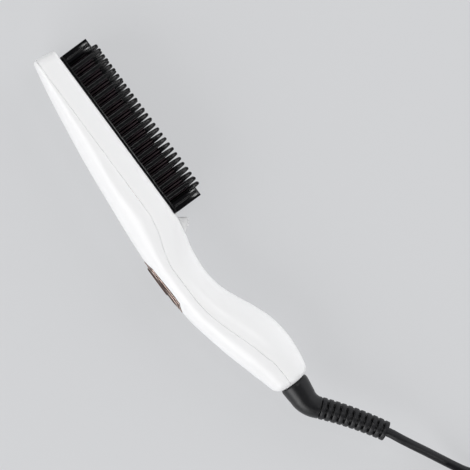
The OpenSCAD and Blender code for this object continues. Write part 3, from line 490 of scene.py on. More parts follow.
def row_tree():
    """Stands copies of a shape along X, centred on the origin."""
    floats = [(label, "Float") for label in ("Pitch", "Height", "Across")]
    tree, given = geometry_tree("row", [("Count", "Int"), *floats, ("Material", "Material")])
    count, pitch = given.outputs["Count"], given.outputs["Pitch"]
    span = maths(tree, "MULTIPLY", maths(tree, "SUBTRACT", count, 1.0), pitch)
    start = {0: maths(tree, "MULTIPLY", span, -0.5), 1: given.outputs["Height"], 2: given.outputs["Across"]}
    copies = copies_along_x(tree, given, add(tree, "ShaderNodeCombineXYZ", start).outputs[0])
    end_tree(tree, copies.outputs[0], given.outputs["Material"])
    return tree


def in_row(made, count, pitch, height, across, material):
    """Copies of a piece in a row that stands at a distance from the middle."""
    values = {"Count": count, "Pitch": pitch * MM, "Height": height * MM, "Across": (MID_Z + across) * MM}
    return grown(made, row_tree(), Material=MADE[material], **values)


def ribs_tree():
    """Sets ribs along X, each a little wider than the last."""
    inputs = [("Count", "Int"), ("Pitch", "Float"), ("Growth", "Float"), ("Material", "Material")]
    tree, given = geometry_tree("ribs", inputs)
    copies = copies_along_x(tree, given, (0, 0, 0))
    index = add(tree, "GeometryNodeInputIndex").outputs[0]
    wide = maths(tree, "ADD", maths(tree, "MULTIPLY", index, given.outputs["Growth"]), 1.0)
    scale = add(tree, "ShaderNodeCombineXYZ", {0: 1.0, 1: wide, 2: wide}).outputs[0]
    tree.links.new(scale, copies.inputs["Scale"])
    end_tree(tree, copies.outputs[0], given.outputs["Material"])
    return tree


def cord_tree():
    """Draws a round cord along a path."""
    tree, given = geometry_tree("cord", [("Radius", "Float"), ("Sides", "Int"), ("Material", "Material")])
    curve = add(tree, "GeometryNodeMeshToCurve", {0: given.outputs["Geometry"]}).outputs[0]
    settings = {"Resolution": given.outputs["Sides"], "Radius": given.outputs["Radius"]}
    ring = add(tree, "GeometryNodeCurvePrimitiveCircle", settings).outputs[0]
    settings = {"Curve": curve, "Profile Curve": ring, "Fill Caps": True}
    skin = add(tree, "GeometryNodeCurveToMesh", settings).outputs[0]
    smooth = add(tree, "GeometryNodeSetShadeSmooth", {0: skin}).outputs[0]
    end_tree(tree, smooth, given.outputs["Material"])
    return tree


# ---- the housing's lines ----------------------------------------------------------

X_TIP, X_END = -65.5, 183.0
SEAT_Y = 8.2
MID_Z = 22.0
SWIVEL_Y = 5.1
CROWN = -23.9
FRONT_LINE = [
    (X_TIP, 8.2), (60, 8.2), (71.84, 6.184), (84.05, 3.552), (97, 2.6), (108.78, 4.166),
    (119.94, 8.342), (131.72, 13.736), (145.36, 18.434), (159, 20), (171, 19.1), (183, 16.4),
]
BACK_LINE = [
    (X_TIP, -6.6), (-45.85, -10.559), (-19.65, -14.625), (0, -17.3), (30, -20.378),
    (60, -23), (74.8, -23.72), (97, -23.9), (111.88, -23.37), (131.72, -20.084),
    (146.6, -16.692), (159, -13.3), (183, -6.6),
]
PART_LINE = [
    (X_TIP, -3.9), (46.8, -3.9), (60, -5.94), (72.58, -10.19), (84.05, -12.4), (103.2, -12.4),
    (118.08, -10.942), (131.72, -7.216), (146.6, -2.194), (159, 1.208), (169.8, 3.5), (183, 3.8),
]
WIDTH_LINE = [(X_TIP, 22), (50, 22), (97, 15), (151, 16.5), (183, 12.3)]
CORNER_HIGH = [(X_TIP, 0.22), (46, 0.24), (91, 0.9), (183, 0.92)]
CORNER_WIDE = [(X_TIP, 0.14), (46, 0.15), (91, 0.96), (183, 0.97)]
BACK_FLAT = [(X_TIP, 0.1), (-12, 0.07), (24, 0.27), (48, 0.12), (60, 0.2), (97, 0.06), (183, 0.08)]
TIP_ROUND, TIP_EDGE, END_ROUND, END_WALL = 6.0, 1.6, 4.5, 2.5
TIP_SLANT, TIP_SLANT_RUN, HEAD_PART = 0.157, 25.0, 3.9


def line_at(table, x):
    """A smooth line through a table's rows, which never overshoots them."""

    def slope(i):
        return (table[i + 1][1] - table[i][1]) / (table[i + 1][0] - table[i][0])

    def tangent(i):
        if i == 0:
            return slope(0)
        if i == len(table) - 1:
            return slope(i - 1)
        a, b = slope(i - 1), slope(i)
        return 0.0 if a * b <= 0 else 2 * a * b / (a + b)

    i = 0
    while i < len(table) - 2 and x >= table[i + 1][0]:
        i += 1
    run = table[i + 1][0] - table[i][0]
    u = (x - table[i][0]) / run
    return (
        table[i][1] * (1 + 2 * u) * (1 - u) ** 2
        + table[i + 1][1] * u * u * (3 - 2 * u)
        + tangent(i) * run * u * (1 - u) ** 2
        - tangent(i + 1) * run * u * u * (1 - u)
    )


def end_draw(x, r_tip, r_end):
    """How much the rounded ends draw in at x."""
    drawn = 0.0
    for d, r in ((x - X_TIP, r_tip), (X_END - x, r_end)):
        if d < r:
            drawn += r - math.sqrt(max(0.0, r * r - (r - d) ** 2))
    return drawn


def half_section(x, side, inset, gap, edge, steps=18):
    """Half of a cross-section as (y, z) from the parting line round to the other side."""
    w = line_at(WIDTH_LINE, x) - inset - end_draw(x, TIP_ROUND, END_ROUND)
    y0 = line_at(PART_LINE, x) + side * gap / 2
    reach = line_at(FRONT_LINE if side > 0 else BACK_LINE, x)
    ye = reach - side * (inset + end_draw(x, TIP_EDGE, END_ROUND))
    flat = 1 - line_at(CORNER_HIGH, x) if side > 0 else line_at(BACK_FLAT, x)
    yc = mix(y0, ye, flat)
    zc = w * ((1 - line_at(CORNER_WIDE, x)) if side > 0 else 0.03)
    power = 0.92 if side > 0 else 0.88
    edge = min(edge, abs(yc - y0) * 0.8)
    half = [
        (y0 + side * edge * (1 - math.cos(a)), w - edge * (1 - math.sin(a)))
        for a in (0.0, math.pi / 6, math.pi / 3)
    ] if edge > 0 else []
    half.append((y0 + side * edge, w))
    for k in range(steps + 1):
        a = math.pi / 2 * k / steps
        half.append((mix(yc, ye, math.sin(a) ** power), mix(zc, w, math.cos(a) ** power)))
    return half + [(y, -z) for y, z in reversed(half)]


def back_at(x, z):
    """Height of the back's surface at a distance z from the middle of the width."""
    w, ye = line_at(WIDTH_LINE, x), line_at(BACK_LINE, x)
    yc = mix(line_at(PART_LINE, x), ye, line_at(BACK_FLAT, x))
    c = (max(0.0, abs(z) - w * 0.03) / (w * 0.97)) ** (1 / 0.88)
    return mix(yc, ye, (1 - c * c) ** 0.44)


def ring(x, side, inset, gap, edge):
    slant = TIP_SLANT * max(0.0, 1 - (x - X_TIP) / TIP_SLANT_RUN)
    return [
        (x + slant * max(0.0, y + HEAD_PART), y, MID_Z + z)
        for y, z in half_section(x, side, inset, gap, edge)
    ]


def shell(name, side, wall, gap, edge):
    """One half of the housing as a closed wall with its rim on the parting line."""
    stations = [X_TIP + TIP_ROUND * (1 - math.cos(math.radians(a))) for a in range(0, 90, 6)]
    first, last = X_TIP + TIP_ROUND, X_END - END_ROUND
    count = 120
    stations += [mix(first, last, k / count) for k in range(count)]
    stations += [last + END_ROUND * math.sin(math.radians(a)) for a in range(0, 91, 6)]
    outer = [ring(x, side, 0.0, gap, edge) for x in stations]
    inner = [
        ring(mix(X_TIP + wall, X_END - END_WALL, (x - X_TIP) / (X_END - X_TIP)), side, wall, gap, 0.0)
        for x in stations
    ]
    m, p, n = len(outer[0]), len(inner[0]), len(stations)
    verts = [v for row in outer for v in row] + [v for row in inner for v in row]
    base = n * m
    faces = []
    for i in range(n - 1):
        for j in range(m - 1):
            faces.append((i * m + j, i * m + j + 1, (i + 1) * m + j + 1, (i + 1) * m + j))
        for j in range(p - 1):
            a, b = base + i * p + j, base + (i + 1) * p + j
            faces.append((a, b, b + 1, a + 1))
        faces.append((i * m, (i + 1) * m, base + (i + 1) * p, base + i * p))
        faces.append(
            (i * m + m - 1, base + i * p + p - 1, base + (i + 1) * p + p - 1, (i + 1) * m + m - 1)
        )
    for i in (0, n - 1):
        faces.append(tuple(range(i * m, i * m + m)))
        faces.append(tuple(range(base + i * p, base + i * p + p)))
        faces.append((i * m, base + i * p, base + i * p + p - 1, i * m + m - 1))
    return piece(name, verts, faces, 28.0)


# ---- pieces -----------------------------------------------------------------------


class COMB_OT_housing(bpy.types.Operator):
    """Makes the two white shells"""

    bl_idname = "comb.housing"
    bl_label = "Housing"

    def execute(self, context):
        props = context.scene.comb_housing
        wall, gap, edge = props.wall / MM, props.part_gap / MM, props.part_edge / MM
        # X from and to, Y under and over the seat, and the half width: window, lug's and latch's slot.
        slots = [(-52, 52, 3, 1, 14.5), (51, 57.3, 3, 1, 6.3), (62.4, 70.6, 5, 5, 2.8)]
        holes = {
            1: [
                block("slot", (x0, SEAT_Y - under, MID_Z - half), (x1, SEAT_Y + over, MID_Z + half))
                for x0, x1, under, over, half in slots
            ],
            -1: [prism("pocket", trim_outline(0.15), CROWN - 5, CROWN + 8)],
        }
        for side, name, node in ((1, "shell_front", "front_shell"), (-1, "shell_back", "back_shell")):
            made = shell(name, side, wall, gap, edge)
            bore = turned("bore", [(-12, 6.4), (12, 6.4)], (X_END, SWIVEL_Y, MID_Z), (1, 0, 0))
            cut(made, [*holes[side], bore], 28.0)
            rides(made, "handle", "white_shell", "glossy_white_abs", node)
        return {"FINISHED"}


TRIM_X, TRIM_LEN, TRIM_W, TRIM_FLAT = 90.0, 38.6, 21.0, 26.6
BUTTON_X = 85.4
LIGHT_X = 100.2
TRIM_TOP = CROWN - 0.5
# The two raised lines of painted highlight along the trim's ridges, as shares of the way up the trim's
# slope.
TRIM_PAINTED_HIGHLIGHTS = ((0.02, 0.11), (0.46, 0.54))


def trim_outline(grow=0.0, inset=0.0):
    """The trim's outline in X and Z: straight sides, and ends drawn in to a point."""
    half = TRIM_LEN / 2 + grow * 1.4 - inset * 1.6
    w = TRIM_W / 2 + grow - inset
    f = TRIM_FLAT / 2 - inset * 0.4
    end = [(mix(f, half, s), w * math.sqrt(1 - s)) for s in (0.0, 0.4, 0.7, 0.9)]
    side = [(-x, z) for x, z in reversed(end)] + end
    loop = [(-half, 0), *side, (half, 0), *((x, -z) for x, z in reversed(side))]
    return [(TRIM_X + x, MID_Z + z) for x, z in loop]


class COMB_OT_button(bpy.types.Operator):
    """Makes the copper trim and the button in it"""

    bl_idname = "comb.button"
    bl_label = "Button and trim"

    def execute(self, context):
        props = context.scene.comb_button
        long, wide = props.button_length / MM, props.button_width / MM
        centre = (BUTTON_X, MID_Z)
        under = trim_outline(0, 1.6)
        loops = [
            [(x, CROWN + 3, z) for x, z in trim_outline()],
            [(x, back_at(x, z - MID_Z) - 0.3, z) for x, z in trim_outline()],
            [(x, TRIM_TOP, z) for x, z in trim_outline(0, 4.2)],
            [(x, CROWN + 1.8, z) for x, z in under],
            [(x, CROWN + 3, z) for x, z in under],
        ]
        verts = [v for loop in loops for v in loop]
        m = len(under)
        faces = [tuple(range(2 * m, 3 * m)), tuple(range(3 * m, 4 * m))]
        for a, b, c, d in bands(m, ((0, 1), (1, 2), (3, 4), (4, 0))):
            faces += [(a, b, c), (a, c, d)]
        trim = piece("trim", verts, faces, 20.0)
        bevelled(trim, 0.22, 2, 12.0, 30.0)
        cut(
            trim,
            [
                prism("hole", stadium(centre, long + 0.6, wide + 0.6), TRIM_TOP - 1, CROWN + 2.8),
                turned("eye", [(-1, 1.25), (4, 1.25)], (LIGHT_X, TRIM_TOP, MID_Z), (0, 1, 0)),
            ],
            30.0,
        )
        rides(trim, "handle", "copper_trim", "plated_copper_trim", "button_trim")
        # The raised lines carry a painted highlight in pale copper.
        lines = joined("trim_painted_highlights", [self.line(*loops[1:3], a, b) for a, b in TRIM_PAINTED_HIGHLIGHTS])
        rides(lines, "handle", "copper_trim", "copper_line_painted_highlight")
        cap = prism("cap", stadium(centre, long, wide, 24), TRIM_TOP - 0.7, CROWN + 2.3)
        bevelled(cap, 0.45, 4, 50.0)
        flange = prism("flange", stadium(centre, long + 2, wide + 2), CROWN + 2.1, CROWN + 2.9)
        stem = turned("stem", [(0, 2.0), (1.7, 2.0)], (BUTTON_X, CROWN + 2.1, MID_Z), (0, 1, 0))
        button = joined("button", [cap, flange, stem])
        rides(button, "button", "copper_trim", "plated_copper_trim", "power_button")
        return {"FINISHED"}

    def line(self, outer, inner, near, far):
        """A raised line round the trim's slope, between two shares of the way up it, that carries a painted
        highlight.
        """
        verts = []
        for share, rise in ((near, 0.25), (near, -0.15), (far, -0.15), (far, 0.25)):
            for p, q in zip(outer, inner):
                x, y, z = (mix(c, d, share) for c, d in zip(p, q))
                verts.append((x, y + rise, z))
        faces = bands(len(outer), ((0, 1), (1, 2), (2, 3), (3, 0)))
        return bevelled(piece("line", verts, faces, 30.0), 0.1, 2, 40.0)


COMB_END, GUARD, SLOT_END = 58.0, 6.4, 50.6
OUTER_ROW, INNER_ROW, FIN_ROW = 15.3, 5.2, 10.05
SLOTS = ((-3.3, 3.3), (7.1, 13.0), (-13.0, -7.1))


def tooth_pitch(teeth):
    return (2 * COMB_END - 2 * GUARD - 0.3) / teeth


class COMB_OT_comb(bpy.types.Operator):
    """Makes the black comb with its teeth, rails and guards"""

    bl_idname = "comb.comb"
    bl_label = "Comb"

    def execute(self, context):
        props = context.scene.comb_comb
        tall, r, tip = props.tooth_height / MM, props.tooth_radius / MM, props.tip_radius / MM
        n = props.outer_teeth
        base = prism("base", rounded(-COMB_END, COMB_END, 3.5, 40.5, 1.2), SEAT_Y, SEAT_Y + 2)
        bevelled(base, 0.4, 3)
        skirt = block("skirt", (-50.7, SEAT_Y - 2.4, MID_Z - 14.35), (50.7, SEAT_Y + 0.2, MID_Z + 14.35))
        for made in (base, skirt):
            slots = [
                block("slot", (-SLOT_END, SEAT_Y - 6, MID_Z + a), (SLOT_END, SEAT_Y + 2.4, MID_Z + b))
                for a, b in SLOTS
            ]
            cut(made, slots)
        # The lug hangs under the seat, with a notch that the latch's tongue holds.
        lug = block("lug", (53.6, -1.4, MID_Z - 6), (57.0, SEAT_Y, MID_Z + 6))
        cut(lug, [block("notch", (55.2, -0.8, MID_Z - 12), (60.2, 1.8, MID_Z + 12))])
        parts = [base, skirt, lug, self.guard(-1), self.guard(1)]
        profile = [(0.0, r), (tall - 8.6, r), (tall - 6.6, mix(tip, r, 0.86))]
        profile += [(tall - 4.3, mix(tip, r, 0.6)), (tall - 2.4, mix(tip, r, 0.3))]
        profile += [
            (tall - tip + tip * math.sin(math.radians(a)), tip * math.cos(math.radians(a)))
            for a in (10, 25, 40, 55, 70, 82, 90)
        ]
        rows = ((n, -OUTER_ROW), (n, OUTER_ROW), (n + 1, -INNER_ROW), (n + 1, INNER_ROW))
        for count, across in rows:
            tooth = turned("tooth", profile, (0, 0, 0), (0, 1, 0), 24)
            parts.append(in_row(tooth, count, tooth_pitch(n), SEAT_Y, across, "polished_black_nylon"))
        made = joined("comb_body", parts)
        rides(made, "handle", "black_comb", "polished_black_nylon", "comb_frame")
        return {"FINISHED"}

    def guard(self, s):
        """Two ribs with a groove between them."""
        x0, x1 = COMB_END - GUARD, COMB_END
        outline = []
        groove = x0 + GUARD * 0.45
        for z, turn in ((MID_Z - 17.5, 1), (MID_Z + 17.5, -1)):
            row = [(x0 + 0.3, z), (groove - 0.5, z), (groove - 0.25, z + turn * 0.4)]
            row += [(groove + 0.25, z + turn * 0.4), (groove + 0.5, z), (x1, z)]
            outline += row if turn > 0 else row[::-1]
        outline = [(s * x, z) for x, z in outline]
        return bevelled(prism("guard", outline, SEAT_Y + 1.9, SEAT_Y + 19.4), 0.25, 2, 50.0)


FINS_PER_TOOTH = 4


class COMB_OT_heater(bpy.types.Operator):
    """Makes the heated plate with its fins"""

    bl_idname = "comb.heater"
    bl_label = "Heated fins"

    def execute(self, context):
        props = context.scene.comb_comb
        tall, thick = SEAT_Y + props.fin_height / MM, props.fin_thickness / MM
        count = FINS_PER_TOOTH * props.outer_teeth - 1
        pitch = tooth_pitch(props.outer_teeth) / FINS_PER_TOOTH
        floor = 5.0
        near, far = (Vector(corner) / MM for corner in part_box("heating_plate"))
        parts = [bevelled(block("plate", near, (far.x, 5.5, far.z)), 0.3)]
        for across, half in ((0.0, 2.9), (-FIN_ROW, 2.55), (FIN_ROW, 2.55)):
            t = thick / 2
            side = [(-t, floor), (t, floor), (t, tall - 2.6), (t * 0.75, tall - 1.0), (t * 0.3, tall)]
            side += [(-x, y) for x, y in reversed(side[2:])]
            fin = bevelled(slab("fin", side, -half, half), 0.15, 2, 60.0)
            parts.append(in_row(fin, count, pitch, 0.0, across, "brown_ceramic_coat"))
        made = joined("heated_fins", parts)
        rides(made, "handle", "heated_metal", "brown_ceramic_coat", "heating_plate")
        return {"FINISHED"}


class COMB_OT_latch(bpy.types.Operator):
    """Makes the ribbed thumb tab that frees the comb"""

    bl_idname = "comb.latch"
    bl_label = "Thumb tab"

    def execute(self, context):
        x0, span, tall, lean, ribs = 61.3, 9.6, 4.8, 0.68, 3
        step = span * 0.66 / ribs
        base = SEAT_Y + 0.35
        side = [(x0, base)]
        for k in range(ribs):
            top = SEAT_Y + tall - k * tall * 0.2
            side += [
                (x0 + k * step + lean * (top - base), top),
                (x0 + (k + 0.75) * step + lean * (top - base), top - 0.1),
                (x0 + (k + 0.85) * step + lean * (top - base - 0.9), top - 1),
            ]
        side.append((x0 + span, line_at(FRONT_LINE, x0 + span) + 0.35))
        tab = bevelled(slab("tab", side, MID_Z - 6, MID_Z + 6), 0.22, 2, 25.0)
        neck = block("neck", (62.7, 0.5, MID_Z - 2.5), (67.3, SEAT_Y - 0.3, MID_Z + 2.5))
        plate = block("plate", (57.5, -0.5, MID_Z - 7), (71.7, 1.5, MID_Z + 7))
        tongue = block("tongue", (55.5, -0.5, MID_Z - 4), (58.5, 1.5, MID_Z + 4))
        made = joined("thumb_tab", [tab, neck, plate, tongue])
        rides(made, "latch", "white_shell", "glossy_white_abs", "comb_latch")
        return {"FINISHED"}


# ---- swivel, relief and cord ------------------------------------------------------

ELBOW_X, ELBOW_RUN, ELBOW_BEND, ELBOW_TURN = 183.3, 11.0, 15.3, math.radians(39)
ELBOW_R, ELBOW_LEVEL, ELBOW_DIP, ELBOW_LIP = 9.0, 0.12, 0.5, 1.5
RELIEF_LEN, RELIEF_R, RELIEF_END_R, RELIEF_DROOP = 42.8, 6.85, 6.1, math.radians(10)


def heading(a):
    """The level direction at an angle from +X."""
    return Vector((math.cos(a), math.sin(a), 0))


def elbow_point(a):
    """A point of the elbow's axis where it has turned by an angle."""
    rise = ELBOW_BEND * (1 - math.cos(a)) - ELBOW_DIP
    return Vector((ELBOW_X + ELBOW_RUN + ELBOW_BEND * math.sin(a), SWIVEL_Y + rise, MID_Z))


RELIEF_AT = elbow_point(ELBOW_TURN) + ELBOW_LIP * heading(ELBOW_TURN)


def relief_angle(s):
    return ELBOW_TURN - RELIEF_DROOP * s / RELIEF_LEN


def relief_point(s):
    """A point of the strain relief's axis, which bends back on an arc, at a length along it."""
    turn = math.pi / 2
    return RELIEF_AT + RELIEF_LEN / RELIEF_DROOP * (
        heading(relief_angle(s) + turn) - heading(ELBOW_TURN + turn)
    )


CORD_OUT = relief_point(RELIEF_LEN)
CORD_D = 5.7
COIL_AT, COIL_IN, COIL_STEP, COIL_START, COIL_Z = (334.0, 51.6), 20.5, 6.2, 144.0, 3.75
LAYERS, LAYER_TURNS = 4, 2.375
COIL_TURNS = LAYERS * LAYER_TURNS
PLUG_WAY = math.radians(205)
PLUG_DIR = heading(PLUG_WAY)
PLUG_AT = Vector((328.5, -3.5, 6.8))


def coil_point(t):
    """A point of the coil after t turns: it spirals out and in again, layer on layer."""
    u = (t / LAYER_TURNS) % 2
    r = COIL_IN + COIL_STEP * LAYER_TURNS * (1 - u if u < 1 else u - 1)
    layer = 0.0
    for k in range(1, LAYERS):
        c = min(1.0, max(0.0, (t - k * LAYER_TURNS) / 0.5 + 0.5))
        layer += c * c * (3 - 2 * c)
    a = math.radians(COIL_START - 360 * t)
    return Vector((COIL_AT[0] + r * math.cos(a), COIL_AT[1] + r * math.sin(a), COIL_Z + COIL_STEP * layer))


def coil_way(t):
    return heading(math.radians(COIL_START - 360 * t - 90))


def smooth_route(points, steps):
    """Points on a smooth curve through a route."""
    made = []
    last = len(points) - 1
    for i in range(last):
        a, b = points[max(i - 1, 0)], points[i]
        c, d = points[i + 1], points[min(i + 2, last)]
        for k in range(steps):
            u = k / steps
            made.append(
                0.5 * (2 * b + (c - a) * u + (2 * a - 5 * b + 4 * c - d) * u * u
                       + (3 * b - a - 3 * c + d) * u ** 3)
            )
    return made + [points[-1]]


# The cord over the table, from the relief to the coil and from the coil to the plug.
OVER = [
    (250, 37.5, 21.4), (258, 41.3, 18.6), (267, 45.6, 14), (277, 50.2, 9), (286.5, 54.8, 5.8),
    (291.3, 57.4, 4.6), (295.4, 60.4, 4),
]
DOWN = [(352.9, 17.2, 20.9), (349.2, 11.9, 18.6), (344, 6.4, 14.8), (338.6, 1.9, 10.6)]


def cord_path():
    """The whole cord, from the strain relief over the table into the coil and on to the plug."""
    way, out = coil_way(0), coil_way(COIL_TURNS)
    entry = coil_point(0) - CORD_D * way
    leave = coil_point(COIL_TURNS) + CORD_D * out
    route = [CORD_OUT + 4 * heading(relief_angle(RELIEF_LEN)), *map(Vector, OVER), entry - 3 * way]
    tail = [leave + 2 * out, leave + 6 * out, *map(Vector, DOWN)]
    tail += [PLUG_AT - 5 * PLUG_DIR + Vector((0, 0, 0.2)), PLUG_AT - 2 * PLUG_DIR]
    rings = 40
    coil = [coil_point(k / rings) for k in range(int(COIL_TURNS * rings) + 1)]
    path = [CORD_OUT] + smooth_route(route, 6) + [entry] + coil + [leave]
    return path + smooth_route(tail, 6) + [PLUG_AT]


def swept(name, path, radii, sides=64, shade=35.0):
    """A round body along a path in the plane z = constant, closed at both ends."""
    rings = []
    last = len(path) - 1
    for i, point in enumerate(path):
        way = (path[min(i + 1, last)] - path[max(i - 1, 0)]).normalized()
        side = Vector((way.y, -way.x, 0)).normalized()
        angles = [math.tau * k / sides for k in range(sides)]
        rays = [side * math.cos(a) + Vector((0, 0, 1)) * math.sin(a) for a in angles]
        rings.append([point + radii[i] * ray for ray in rays])
    return lofted(name, rings, shade)


class COMB_OT_swivel(bpy.types.Operator):
    """Makes the elbow and the slotted strain relief"""

    bl_idname = "comb.swivel"
    bl_label = "Elbow and strain relief"

    def execute(self, context):
        props = context.scene.comb_cord
        widths = [(0.0, -0.6), (ELBOW_LEVEL, 0.0), (0.5, -0.3), (0.8, -0.7), (1.0, -0.9)]
        end_r = RELIEF_R - 0.1
        run, bend = 16, 20
        line = []
        for d, r in ((0.0, 1.0), (0.08, 0.65), (0.25, 0.45)):
            line.append((Vector((ELBOW_X + d, SWIVEL_Y, MID_Z)), ELBOW_R - r))
        for k in range(1, run):
            u = mix(0.03, 1.0, k / run)
            dip = ELBOW_DIP * max(0.0, u - ELBOW_LEVEL)
            point = Vector((ELBOW_X + ELBOW_RUN * u, SWIVEL_Y - dip, MID_Z))
            line.append((point, ELBOW_R + line_at(widths, u)))
        for k in range(bend + 1):
            line.append((elbow_point(ELBOW_TURN * k / bend), mix(ELBOW_R - 0.9, end_r, k / bend)))
        for d, r in ((ELBOW_LIP - 0.3, 0.0), (ELBOW_LIP - 0.09, 0.09), (ELBOW_LIP, 0.3)):
            line.append((elbow_point(ELBOW_TURN) + d * heading(ELBOW_TURN), end_r - r))
        elbow = swept("elbow", *zip(*line))
        rides(elbow, "swivel", "black_plastic", "satin_black_plastic", "cord_elbow")
        self.relief(props)
        return {"FINISHED"}

    def relief(self, props):
        """Rings on a sleeve, joined by a web on either side, made straight and then bent."""
        count, slot = props.relief_ribs, props.relief_slot / MM
        pitch = (RELIEF_LEN + slot / 2) / count
        thick = pitch - slot
        core, soft = CORD_D / 2 + 0.9, 0.35
        first = mix(RELIEF_R, RELIEF_END_R, 0.5 / count)
        final = mix(RELIEF_R, RELIEF_END_R, 1 - 0.5 / count)
        rib = [(0, core - 0.3), (0, first - soft), (0.1, first - 0.1), (soft, first)]
        rib += [(thick - d, r) for d, r in reversed(rib)]
        parts = [turned("rib", rib, (slot / 2, 0, 0), (1, 0, 0), 64, 50.0)]
        for side in (-1, 1):
            arc = [math.radians(side * 90 + a) for a in range(-36, 37, 6)]
            rim = first - 0.55
            loop = [(rim * math.sin(a), rim * math.cos(a)) for a in arc]
            loop += [((core - 0.3) * math.sin(a), (core - 0.3) * math.cos(a)) for a in reversed(arc)]
            ends = (-slot / 2 - 0.3, slot / 2 + 0.3)
            parts.append(lofted("web", [[(x, y, z) for y, z in loop] for x in ends]))
        values = {"Count": count, "Pitch": pitch * MM, "Growth": (final / first - 1) / (count - 1)}
        cell = joined("cell", parts, 50.0)
        grown(cell, ribs_tree(), 50.0, Material=MADE["soft_black_pvc"], **values)
        steps = 4 * count
        outline = [(RELIEF_LEN * k / steps, core) for k in range(steps)]
        sleeve = turned("sleeve", outline, (0, 0, 0), (1, 0, 0), 48)
        made = joined("strain_relief_ribs", [cell, sleeve], 50.0)
        for vertex in made.data.vertices:
            x, y, z = vertex.co / MM
            s = max(0.0, x)
            across = heading(relief_angle(s) + math.pi / 2)
            vertex.co = (relief_point(s) + y * across + Vector((0, 0, z))) * MM
        rides(made, "swivel", "cord_jacket", "soft_black_pvc", "strain_relief")


class COMB_OT_cord(bpy.types.Operator):
    """Makes the mains cord, its coil's strap and the plug"""

    bl_idname = "comb.cord"
    bl_label = "Cord and plug"

    def execute(self, context):
        props = context.scene.comb_cord
        path = cord_path()
        mesh = bpy.data.meshes.new("mains_cord")
        mesh.from_pydata([p * MM for p in path], [(i, i + 1) for i in range(len(path) - 1)], [])
        cord = placed("mains_cord", mesh)
        jacket = MADE["soft_black_pvc"]
        grown(cord, cord_tree(), Radius=props.cord_diameter / 2, Sides=20, Material=jacket)
        rides(cord, "swivel", "cord_jacket", "soft_black_pvc", "cord_lead", "cord_coil", "cord_tail")
        strap = self.strap()
        plug, pins = self.plug()
        total = sum((b - a).length for a, b in zip(path, path[1:])) * MM
        return {"FINISHED"}

    def strap(self):
        """A woven tape round the coil."""
        r0, r1 = COIL_IN - CORD_D / 2 - 1.2, COIL_IN + COIL_STEP * LAYER_TURNS + CORD_D / 2 + 0.4
        top = COIL_Z + COIL_STEP * (LAYERS - 1) + CORD_D / 2 + 0.3
        thick, wide, soft = 0.7, 11.0, 1.6
        loops = [
            rounded(r0 - grow, r1 + grow, thick - grow, top + grow, soft + grow) for grow in (thick, 0.0)
        ]
        verts = [(x, y, z) for y in (-wide / 2, wide / 2) for loop in loops for x, z in loop]
        faces = bands(len(loops[0]), ((0, 2), (3, 1), (0, 1), (2, 3)))
        made = bevelled(piece("coil_strap", verts, faces), 0.2, 2, 60.0)
        made.data.transform(
            Matrix.Translation(Vector((COIL_AT[0], COIL_AT[1], 0)) * MM)
            @ Matrix.Rotation(math.radians(62), 4, "Z")
        )
        return rides(made, "swivel", "strap", "woven_strap", "coil_tie")

    def plug(self):
        turn = Matrix.Translation(PLUG_AT * MM) @ Matrix.Rotation(PLUG_WAY, 4, "Z")
        outline = [
            (10.7, -6.5), (12.2, -6.9), (19.0, -16.0), (22.4, -17.0), (32.0, -17.0), (34.0, -15.2),
            (34.0, 15.2), (32.0, 17.0), (22.4, 17.0), (19.0, 16.0), (12.2, 6.9), (10.7, 6.5),
        ]
        parts = [bevelled(slab("grip", outline, -6.8, 6.8), 1.6, 4, 25.0, 50.0)]
        rounds = [[(0.0, 3.85), (3.0, 3.95), (8.0, 4.3), (11.6, 4.6)]]
        for x, r in ((1.6, 4.2), (4.2, 4.4), (6.8, 4.6)):
            rounds.append([(x - 0.6, 3.6), (x - 0.45, r), (x + 0.45, r), (x + 0.6, 3.6)])
        parts += [turned("neck", profile, (0, 0, 0), (1, 0, 0), 40) for profile in rounds]
        body = joined("plug_grip", parts, 50.0)
        body.data.transform(turn)
        rides(body, "swivel", "cord_jacket", "soft_black_pvc", "plug_body")
        tip = [(18.0, 2.0)] + [
            (18.0 + 0.7 * math.sin(a), 1.3 + 0.7 * math.cos(a)) for a in (0.4, 0.8, 1.2, 1.57)
        ]
        shaft = [(-6, 1.6), (0, 1.6), (0, 2.0), *tip, (18.7, 0.0)]
        pair = [turned("pin", shaft, (34, y, 0), (1, 0, 0), 40) for y in (-9.3, 9.3)]
        pins = joined("plug_pin_pair", pair)
        pins.data.transform(turn)
        rides(pins, "swivel", "nickel", "nickel_plate", "plug_pins")
        return body, pins


# ---- what stays from the CAD model ------------------------------------------------

INSIDE = {
    "satin_black_plastic": ["switch_plunger", "swivel_collar", "contact_block"],
    "component_cases": ["board_parts", "tact_switch"],
    "clear_acrylic": ["status_light"],
    "green_solder_mask": ["circuit_board"],
    "zinc_plated_steel": ["board_screws", "shell_screws", "heater_clamp", "latch_spring", "thermal_fuse"],
    "mill_aluminium": ["ptc_heater"],
    "mica_filled_plastic": ["heat_shield"],
    "rolled_brass": ["slip_rings", "thermostat"],
    "red_silicone": ["heater_leads"],
    "blue_wire_insulation": ["power_leads"],
}


class COMB_OT_inside(bpy.types.Operator):
    """Finishes the parts inside the comb"""

    bl_idname = "comb.inside"
    bl_label = "Inner parts"

    def execute(self, context):
        for material, nodes in INSIDE.items():
            for node in nodes:
                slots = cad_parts[node].material_slots
                if not slots:
                    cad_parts[node].data.materials.append(MADE[material])
                for slot in slots:
                    slot.material = MADE[material]
        return {"FINISHED"}


# ---- stage ------------------------------------------------------------------------


